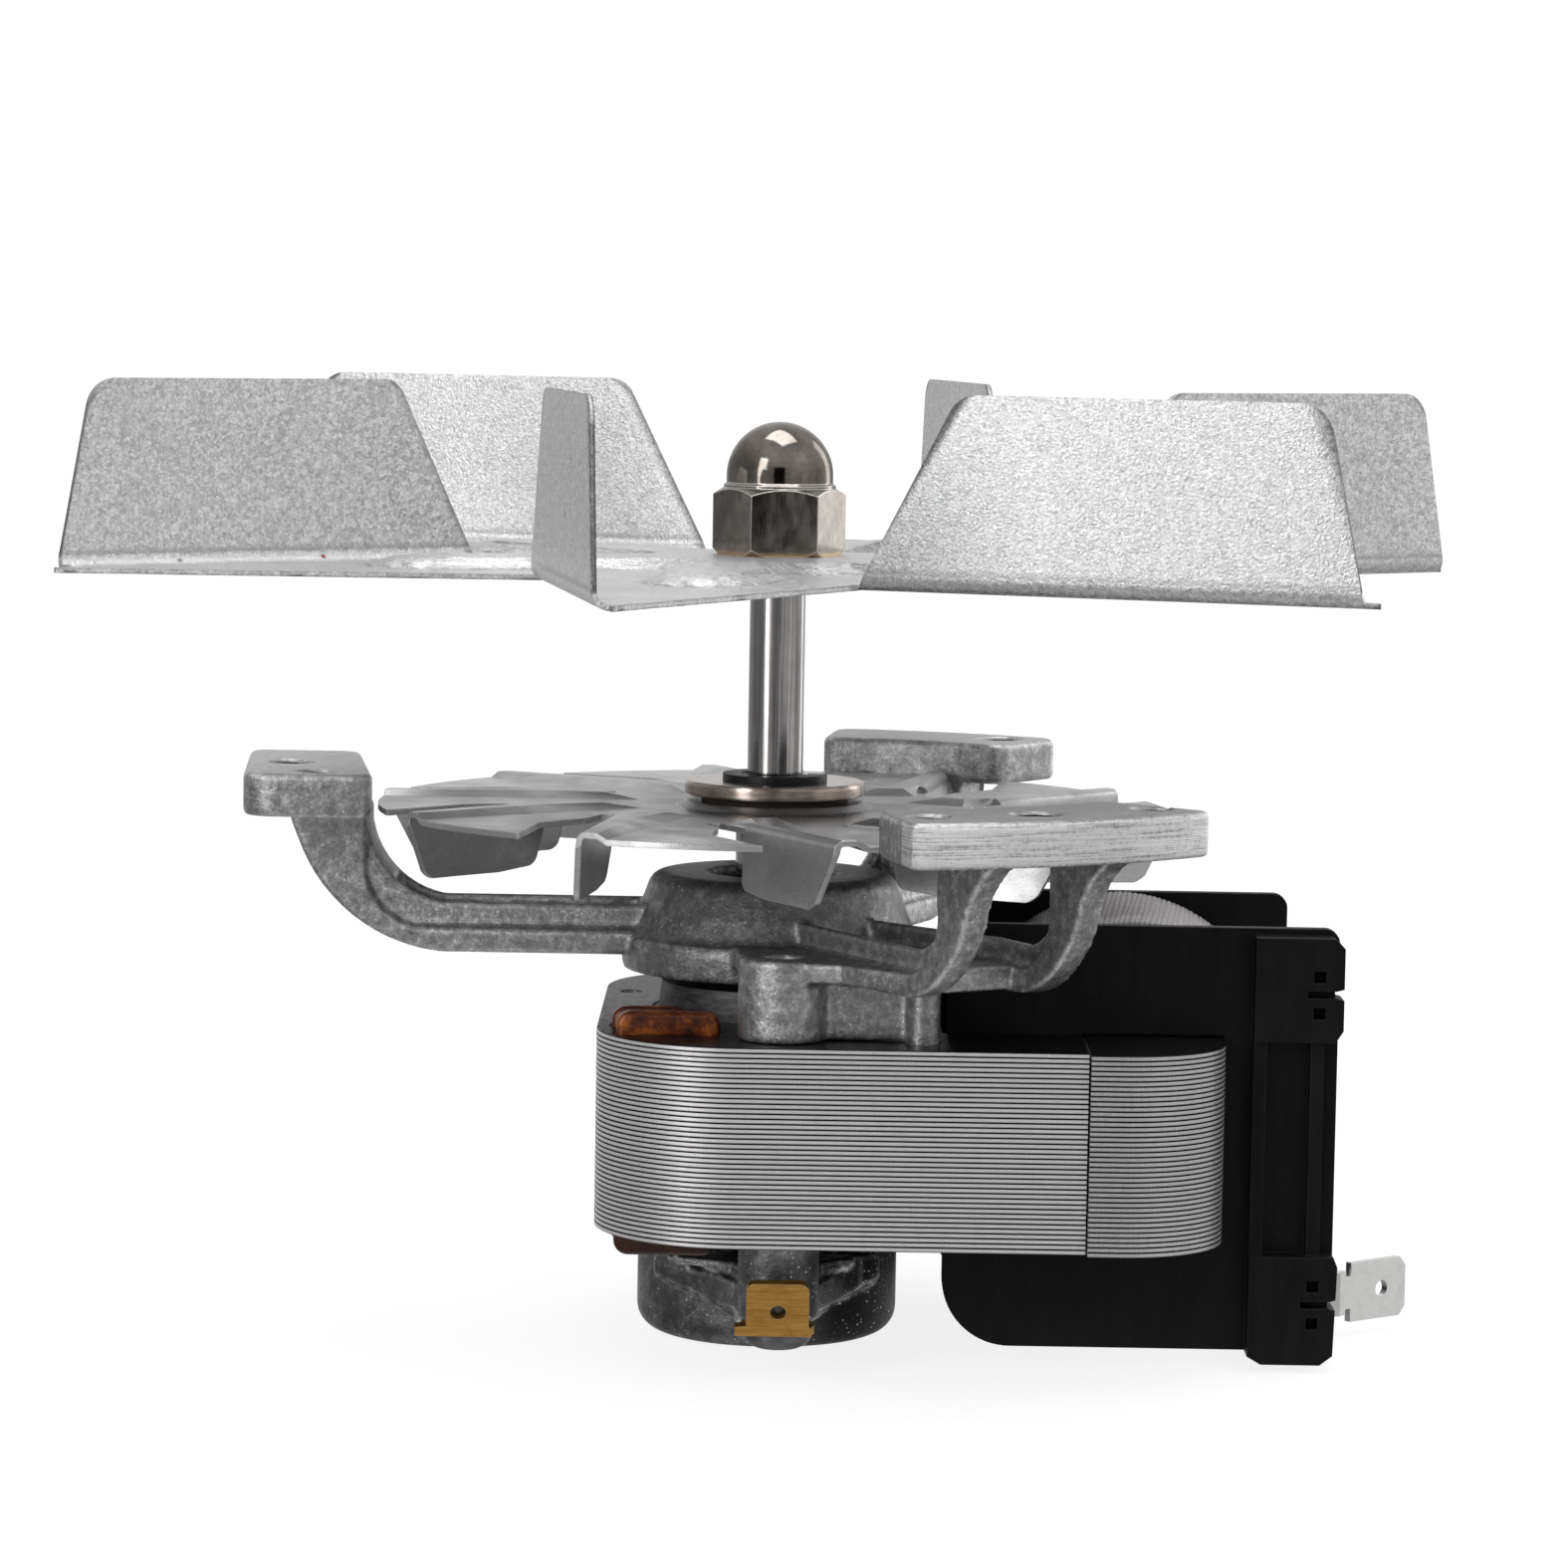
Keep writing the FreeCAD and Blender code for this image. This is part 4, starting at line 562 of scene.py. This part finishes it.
def bevel_copy(node, width, segments=2, angle=28.0, dissolve=1.0, name=None):
    """Copy of a CAD node with its sharp edges rounded."""
    o = temp_from(node)
    bm = bmesh.new()
    bm.from_mesh(o.data)
    bmesh.ops.remove_doubles(bm, verts=bm.verts, dist=0.000005)
    bmesh.ops.dissolve_limit(bm, angle_limit=math.radians(dissolve), verts=bm.verts, edges=bm.edges)
    bm.to_mesh(o.data)
    bm.free()
    b = o.modifiers.new("bevel", "BEVEL")
    b.width = width * MM
    b.segments = segments
    b.limit_method = "ANGLE"
    b.angle_limit = math.radians(angle)
    b.use_clamp_overlap = True
    b.harden_normals = False
    me = evaluated(o)
    bpy.data.objects.remove(o)
    me.name = (name or node) + "_mesh"
    ob = new_object(name or (node + "_look"), me, BODY[node], slot_of(node), [node])
    me.set_sharp_from_angle(angle=math.radians(34))
    return ob


# --------------------------------------------------------------- lamination packs
def arc_pts(cx, cy, r, a0, a1, n):
    return [(cx + r * math.cos(math.radians(a0 + (a1 - a0) * i / n)),
             cy + r * math.sin(math.radians(a0 + (a1 - a0) * i / n))) for i in range(n + 1)]


def subdivide(loop, step):
    """Adds points on long straight runs."""
    out = []
    for i, p in enumerate(loop):
        q = loop[(i + 1) % len(loop)]
        out.append(p)
        d = math.hypot(q[0] - p[0], q[1] - p[1])
        k = int(d / step)
        for j in range(1, k + 1):
            f = j / (k + 1)
            out.append((p[0] + f * (q[0] - p[0]), p[1] + f * (q[1] - p[1])))
    return out


def offset(loop, d):
    """Moves a counterclockwise loop inwards by d (outwards if d is negative)."""
    n = len(loop)
    out = []
    for i in range(n):
        a, b, c = Vector(loop[i - 1]), Vector(loop[i]), Vector(loop[(i + 1) % n])
        e0, e1 = (b - a).normalized(), (c - b).normalized()
        n0, n1 = Vector((-e0.y, e0.x)), Vector((-e1.y, e1.x))
        m = n0 + n1
        if m.length < 1e-6:
            m = n0
        m = m.normalized()
        k = d / max(0.35, m.dot(n0))
        out.append((b.x + m.x * k, b.y + m.y * k))
    return out


def laminated(name, outer, holes, z0, z1, count, groove, seed, warp, node, slot):
    """One closed shell: every sheet is a band between two grooves."""
    rnd = random.Random(seed)
    loops = [outer] + [list(reversed(h)) for h in holes]
    pitch = (z1 - z0) / count
    levels = []
    for k in range(count):
        zz = z0 + k * pitch
        dx, dy = rnd.uniform(-warp, warp), rnd.uniform(-warp, warp)
        g = groove * rnd.uniform(0.9, 1.1)
        push = rnd.uniform(0.0, 0.018)
        levels.append((zz + 0.0 * pitch, g + push, dx, dy, k))
        levels.append((zz + 0.13 * pitch, push, dx, dy, k))
        levels.append((zz + 0.84 * pitch, push, dx, dy, k))
        levels.append((zz + 1.0 * pitch - 0.004, g * 1.1 + push, dx, dy, k))
    bm = bmesh.new()
    rings = []
    for z, inset, dx, dy, k in levels:
        ring = []
        for li, lp in enumerate(loops):
            pts = offset(lp, inset)
            ring.append([bm.verts.new(((x + dx) * MM, (y + dy) * MM, z * MM)) for x, y in pts])
        rings.append(ring)
    for a, b in zip(rings[:-1], rings[1:]):
        for ra, rb in zip(a, b):
            n = len(ra)
            for i in range(n):
                bm.faces.new((ra[i], ra[(i + 1) % n], rb[(i + 1) % n], rb[i]))
    for ring, flip in ((rings[0], True), (rings[-1], False)):
        edges = []
        for r in ring:
            for i in range(len(r)):
                edges.append(bm.edges.get((r[i], r[(i + 1) % len(r)])))
        res = bmesh.ops.triangle_fill(bm, use_beauty=True, use_dissolve=False, edges=edges)
        fs = [f for f in res["geom"] if isinstance(f, bmesh.types.BMFace)]
        for f in fs:
            f.normal_update()
            if (f.normal.z > 0) == flip:
                f.normal_flip()
    me = bpy.data.meshes.new(name + "_mesh")
    bm.to_mesh(me)
    bm.free()
    o = new_object(name, me, "motor", slot, [node], smooth=False)
    for p in me.polygons:
        p.use_smooth = abs(p.normal.z) < 0.9
    me.set_sharp_from_angle(angle=math.radians(25))
    return o


x0, x1, SY, r = -17.7, 31.8, 30.5, 14.5
outer = []
outer += arc_pts(x0 + r, -SY + r, r, 180, 270, 26)
outer += [(x1 - 0.12, -SY), (x1 - 0.12, -17.6), (19.0, -17.6)]
outer += arc_pts(19.0, -16.1, 1.5, 270, 180, 5)[1:]
outer += arc_pts(19.0, 16.1, 1.5, 180, 90, 5)
outer += [(x1 - 0.12, 17.6), (x1 - 0.12, SY), (x0 + r, SY)]
outer += arc_pts(x0 + r, SY - r, r, 90, 180, 26)[1:]
# the loop above goes clockwise round the window but counterclockwise round the outside
holes = [arc_pts(0, 0, 12.4, 0, 360, 72)[:-1]]
for sy in (-1, 1):
    holes.append(arc_pts(1.2, sy * 23.5, 2.0, 0, 360, 24)[:-1])
holes.append(arc_pts(-15.0, 11.3, 1.15, 0, 360, 18)[:-1])
holes.append(arc_pts(15.0, -11.3, 1.15, 0, 360, 18)[:-1])
holes.append(arc_pts(15.4, -24.7, 1.75, 0, 360, 20)[:-1])
holes.append(arc_pts(-9.6, 23.1, 1.75, 0, 360, 20)[:-1])
for outerring, xa, xb, yy, w in ((True, -14.4, -6.2, -20.9, 1.15), (False, -15.2, -9.4, -15.2, 1.0)):
    for xx in (xa, xb):
        c = w + 0.12
        holes.append([(xx - c, yy - c), (xx + c, yy - c), (xx + c, yy + c), (xx - c, yy + c)])
        sx = -xx + (1.2 if outerring else 0.0)
        holes.append([(sx - c, -yy - c), (sx + c, -yy - c), (sx + c, -yy + c), (sx - c, -yy + c)])
stack = laminated("stator_sheets", subdivide(outer, 9.0), holes, -45.3, -25.1, 40, 0.12, 7, 0.012, "stator_stack", "laminations")

x0, x1, CY, r = 31.86, 46.0, 31.2, 11.0
outer = [(x0, -CY)]
outer += arc_pts(x1 - r, -CY + r, r, 270, 360, 22)
outer += arc_pts(x1 - r, CY - r, r, 0, 90, 22)
outer += [(x0, CY)]
core = laminated("core_sheets", subdivide(outer, 9.0), [], -45.4, -25.2, 40, 0.12, 11, 0.012, "coil_core", "core_laminations")


# ----------------------------------------------------------------- thread wrap
def wrap_mesh():
    """Threads laid side by side across the coil, between its flanges."""
    cx, cz = 37.2, -35.2
    a, b = 18.62, 21.42
    yi = 14.86
    threads = 232
    per = 8
    ny = 12
    rnd = random.Random(3)
    # equal steps along the oval
    samples = 4000
    pts = [(a * math.sin(2 * math.pi * i / samples), b * math.cos(2 * math.pi * i / samples)) for i in range(samples + 1)]
    acc = [0.0]
    for p, q in zip(pts[:-1], pts[1:]):
        acc.append(acc[-1] + math.hypot(q[0] - p[0], q[1] - p[1]))
    total = acc[-1]

    def at(s):
        s = s % total
        lo, hi = 0, samples
        while hi - lo > 1:
            m = (lo + hi) // 2
            if acc[m] <= s:
                lo = m
            else:
                hi = m
        f = (s - acc[lo]) / (acc[hi] - acc[lo])
        x = pts[lo][0] + f * (pts[hi][0] - pts[lo][0])
        z = pts[lo][1] + f * (pts[hi][1] - pts[lo][1])
        nx, nz = x / (a * a), z / (b * b)
        l = math.hypot(nx, nz)
        return x, z, nx / l, nz / l

    height = [rnd.uniform(0.85, 1.0) for _ in range(threads)]
    wav = [rnd.uniform(-0.10, 0.10) for _ in range(threads)]
    bm = bmesh.new()
    grid = []
    pitch = total / threads
    for j in range(ny + 1):
        v = -1 + 2 * j / ny
        y = yi * v
        lean = 1.5 * v
        row = []
        for i in range(threads * per):
            k, ph = divmod(i, per)
            u = (ph + 0.5) / per
            prof = math.sqrt(max(0.0, 1 - (2 * u - 1) ** 2))
            s = i * pitch / per + lean + wav[k] * math.sin(3 * v + k)
            x, z, nx, nz = at(s)
            d = 0.17 * prof * height[k] - 0.17 - 0.10 * (abs(v) ** 6)
            row.append(bm.verts.new(((cx + x + nx * d) * MM, y * MM, (cz + z + nz * d) * MM)))
        grid.append(row)
    n = threads * per
    for j in range(ny):
        for i in range(n):
            bm.faces.new((grid[j][i], grid[j][(i + 1) % n], grid[j + 1][(i + 1) % n], grid[j + 1][i]))
    # ends turn in to the coil below
    for row, y in ((grid[0], -yi), (grid[-1], yi)):
        inner = []
        for i in range(0, n, per):
            x, z, nx, nz = at(i * pitch / per)
            inner.append(bm.verts.new(((cx + x - nx * 0.85) * MM, y * MM, (cz + z - nz * 0.85) * MM)))
        m = len(inner)
        for k in range(m):
            loop = [row[(k * per + q) % n] for q in range(per + 1)]
            face = [inner[k]] + loop + [inner[(k + 1) % m]]
            bm.faces.new(face if row is grid[-1] else list(reversed(face)))
        if row is grid[0]:
            first = inner
        else:
            second = inner
    m = len(first)
    for k in range(m):
        bm.faces.new((first[k], second[k], second[(k + 1) % m], first[(k + 1) % m]))
    bmesh.ops.recalc_face_normals(bm, faces=bm.faces)
    me = bpy.data.meshes.new("winding_wrap_mesh")
    bm.to_mesh(me)
    bm.free()
    return me


wrap = new_object("winding_wrap", wrap_mesh(), "motor", "glass_thread", ["winding_tape"])


def soft_sheet(node, z_top, reach, rounds, keep_r, inside, name=None):
    """Copy of a pressed sheet whose ribs are blended into the plate, as a press leaves them.

    Plate triangles are cut down to 'reach' mm, then heights are evened out between neighbours;
    'inside' tells which plan positions take part, so folds and sheared edges stay where they are."""
    bm = bmesh.new()
    bm.from_mesh(nodes[node].data)
    bmesh.ops.remove_doubles(bm, verts=bm.verts, dist=0.000004)
    bmesh.ops.triangulate(bm, faces=bm.faces)
    for _ in range(8):
        bm.edges.ensure_lookup_table()
        long_edges = [e for e in bm.edges
                      if e.calc_length() > reach * MM and e.verts[0].co.z < z_top * MM and e.verts[1].co.z < z_top * MM]
        if not long_edges or len(bm.faces) > 90000:
            break
        bmesh.ops.subdivide_edges(bm, edges=long_edges, cuts=1, use_grid_fill=False)
        bmesh.ops.triangulate(bm, faces=[f for f in bm.faces if len(f.verts) > 3])
    bm.verts.index_update()
    free = []
    for v in bm.verts:
        x, y, z = v.co.x / MM, v.co.y / MM, v.co.z / MM
        if z < z_top and math.hypot(x, y) > keep_r and inside(x, y):
            free.append(v)
    for _ in range(rounds):
        new = {}
        for v in free:
            tot, w = 0.0, 0.0
            for e in v.link_edges:
                o = e.other_vert(v)
                if abs(o.co.z - v.co.z) > 0.3 * MM and math.hypot(o.co.x - v.co.x, o.co.y - v.co.y) < 0.3 * MM:
                    continue
                tot += o.co.z
                w += 1.0
            if w:
                new[v] = 0.4 * v.co.z + 0.6 * tot / w
        for v, z in new.items():
            v.co.z = z
    me = bpy.data.meshes.new("tmp_sheet")
    bm.to_mesh(me)
    bm.free()
    for p in me.polygons:
        p.use_smooth = True
    me.set_sharp_from_angle(angle=math.radians(40))
    tmp = bpy.data.objects.new("tmp_sheet", me)
    scene.collection.objects.link(tmp)
    wn = tmp.modifiers.new("wn", "WEIGHTED_NORMAL")
    wn.keep_sharp = True
    wn.weight = 90
    me = evaluated(tmp)
    bpy.data.objects.remove(tmp)
    me.name = (name or node) + "_mesh"
    return new_object(name or (node + "_look"), me, BODY[node], slot_of(node), [node])


def on_impeller_plate(x, y):
    """Plan positions more than 2.4 mm inside every fold line of the star."""
    r, a = math.hypot(x, y), math.degrees(math.atan2(y, x)) + 80.97
    for k in range(6):
        b = math.radians(a - 60 * k)
        u, v = r * math.cos(b), r * math.sin(b)
        if v < -28.03 + 2.4 and u > 14.0:
            return False
        # the sheared edge beyond the end of a fold is left alone
        if u > 66.0:
            return False
    return True


impeller_look = soft_sheet("impeller", 23.0, 1.5, 8, 9.0, on_impeller_plate)

bracket = cast_copy("front_bracket", 0.34, 3, 0.42)
rear = cast_copy("rear_bracket", 0.34, 3, 0.5)


# ------------------------------------------------------------------- the camera
cam_data = bpy.data.cameras.new("camera")
cam = bpy.data.objects.new("camera", cam_data)
scene.collection.objects.link(cam)
cam_data.sensor_fit = "HORIZONTAL"
cam_data.sensor_width = 36.0
cam_data.lens = 5270.3 * 36.0 / 1575.0
cam_data.clip_start = 0.01
cam_data.clip_end = 20.0
pitch, yaw, roll = math.radians(5.239), math.radians(0.0036), math.radians(0.9625)
fwd = Vector((math.sin(yaw) * math.cos(pitch), math.cos(yaw) * math.cos(pitch), -math.sin(pitch)))
right = Vector((math.cos(yaw), -math.sin(yaw), 0.0))
up = right.cross(fwd)
r2 = right * math.cos(roll) + up * math.sin(roll)
u2 = up * math.cos(roll) - right * math.sin(roll)
rot = Matrix((r2, u2, -fwd)).transposed()
cam.matrix_world = Matrix.Translation(Vector((0.926, -545.563, 48.489)) * MM) @ rot.to_4x4()
scene.camera = cam


# ------------------------------------------------------------- floor and lights
def stage_mesh(name, verts, faces, material):
    me = bpy.data.meshes.new(name)
    me.from_pydata(verts, [], faces)
    me.update()
    o = bpy.data.objects.new(name, me)
    scene.collection.objects.link(o)
    me.materials.append(material)
    for p in me.polygons:
        p.use_smooth = True
    return o


def floor_material():
    t = Tree("floor_white", Metallic=0.0, Specular_IOR_Level=0.1)
    f = t.noise(t.obj, 0.02, 3)
    col = t.ramp(f, [(0.3, (0.22, 0.22, 0.22)), (0.7, (0.24, 0.24, 0.24))])
    t.p.inputs["Emission Color"].default_value = (1, 1, 1, 1)
    t.p.inputs["Emission Strength"].default_value = 0.84
    m = t.finish(col, t.ramp(f, [(0.3, 0.8), (0.7, 0.9)]))
    clear = t.t.nodes.new("ShaderNodeBsdfTransparent")
    mixer = t.t.nodes.new("ShaderNodeMixShader")
    t.t.links.new(t.geo.outputs["Backfacing"], mixer.inputs[0])
    t.t.links.new(t.p.outputs[0], mixer.inputs[1])
    t.t.links.new(clear.outputs[0], mixer.inputs[2])
    t.t.links.new(mixer.outputs[0], t.out.inputs[0])
    return m


zf = cad_lo.z - 0.0002
prof = [(-0.9, zf), (-0.3, zf), (0.0, zf), (0.45, zf)]
for i in range(1, 13):
    a = math.radians(90 * i / 12)
    prof.append((0.45 + 0.45 * math.sin(a), zf + 0.45 * (1 - math.cos(a))))
prof.append((0.90, zf + 1.4))
verts, faces = [], []
for y, z in prof:
    verts += [(-1.6, y, z), (1.6, y, z)]
for i in range(len(prof) - 1):
    faces.append((2 * i, 2 * i + 1, 2 * i + 3, 2 * i + 2))
floor = stage_mesh("floor", verts, faces, floor_material())
# the sweep is seen, and doesn't light the object: the soft sky does
floor.visible_glossy = False
floor.visible_diffuse = False


def area(name, loc, target, size, radiance, color=(1, 1, 1)):
    l = bpy.data.lights.new(name, "AREA")
    l.shape = "RECTANGLE"
    l.size, l.size_y = size
    l.energy = radiance * math.pi * size[0] * size[1]
    l.color = color
    o = bpy.data.objects.new(name, l)
    o.location = loc
    o.rotation_euler = (Vector(target) - Vector(loc)).to_track_quat("-Z", "Y").to_euler()
    scene.collection.objects.link(o)
    return o


area("top_box", (0.02, 0.02, 0.62), (0, 0, 0), (0.42, 0.34), 4.4)
area("left_front_box", (-0.46, -0.55, 0.20), (0, 0, 0), (0.22, 0.60), 4.4)
area("right_box", (0.50, 0.40, 0.16), (0, 0, 0.02), (0.20, 0.60), 1.7)

# a dark card behind the camera, which the bright plating mirrors
def card_material(name, glow):
    t = Tree(name, Metallic=0.0, Specular_IOR_Level=0.0)
    f = t.noise(t.obj, 0.05, 2)
    t.p.inputs["Emission Color"].default_value = (1, 1, 1, 1)
    t.p.inputs["Emission Strength"].default_value = glow
    return t.finish(t.ramp(f, [(0.3, (0.010, 0.010, 0.010)), (0.7, (0.016, 0.016, 0.016))]), t.ramp(f, [(0.3, 0.9), (0.7, 1.0)]))


card = stage_mesh("dark_card", [(-0.16, -0.66, -0.012), (0.125, -0.66, -0.012), (0.125, -0.66, 0.26), (-0.16, -0.66, 0.26)],
                  [(0, 3, 2, 1)], card_material("dark_card", 0.0))
grey = stage_mesh("grey_card", [(-0.13, -0.66, -0.13), (0.11, -0.66, -0.13), (0.11, -0.66, -0.014), (-0.13, -0.66, -0.014)],
                  [(0, 3, 2, 1)], card_material("grey_card", 0.26))
for c in (card, grey):
    c.visible_camera = False
    c.visible_diffuse = False
    c.visible_shadow = False

world = bpy.data.worlds.new("world")
scene.world = world
world.use_nodes = True
wt = world.node_tree
wt.nodes.clear()
w_out = wt.nodes.new("ShaderNodeOutputWorld")
w_bg = wt.nodes.new("ShaderNodeBackground")
wt.links.new(w_bg.outputs[0], w_out.inputs[0])
w_tc = wt.nodes.new("ShaderNodeTexCoord")
w_sep = wt.nodes.new("ShaderNodeSeparateXYZ")
wt.links.new(w_tc.outputs["Generated"], w_sep.inputs[0])


def w_step(socket, lo, hi, amount, sign=1.0):
    """amount, brought in as sign*socket goes from lo to hi."""
    m = wt.nodes.new("ShaderNodeMapRange")
    m.interpolation_type = "SMOOTHSTEP"
    s = wt.nodes.new("ShaderNodeMath")
    s.operation = "MULTIPLY"
    wt.links.new(socket, s.inputs[0])
    s.inputs[1].default_value = sign
    wt.links.new(s.outputs[0], m.inputs["Value"])
    m.inputs["From Min"].default_value = lo
    m.inputs["From Max"].default_value = hi
    m.inputs["To Min"].default_value = 0.0
    m.inputs["To Max"].default_value = amount
    return m.outputs["Result"]


def w_sum(*socks):
    cur = socks[0]
    for s in socks[1:]:
        a = wt.nodes.new("ShaderNodeMath")
        a.operation = "ADD"
        wt.links.new(cur, a.inputs[0])
        wt.links.new(s, a.inputs[1])
        cur = a.outputs[0]
    return cur


wx, wy, wz = w_sep.outputs
base = wt.nodes.new("ShaderNodeValue")
base.outputs[0].default_value = 0.34
level = w_sum(base.outputs[0],
              w_step(wz, 0.15, 0.8, 0.50),
              w_step(wy, 0.05, 0.50, 0.12),
              w_step(wy, 0.70, 0.98, 0.40),
              w_step(wx, 0.35, 0.9, 0.42),
              w_step(wx, 0.45, 0.95, -0.04, -1.0),
              w_step(wy, 0.20, 0.85, 0.26, -1.0),
              w_step(wz, 0.10, 0.6, -0.20, -1.0),
              w_step(wz, 0.72, 0.97, 0.62, -1.0))
lp = wt.nodes.new("ShaderNodeLightPath")
pick = wt.nodes.new("ShaderNodeMix")
pick.data_type = "FLOAT"
wt.links.new(lp.outputs["Is Camera Ray"], pick.inputs[0])
wt.links.new(level, pick.inputs[2])
pick.inputs[3].default_value = 0.98
wt.links.new(pick.outputs[0], w_bg.inputs[1])
scene.view_settings.view_transform = "Standard"
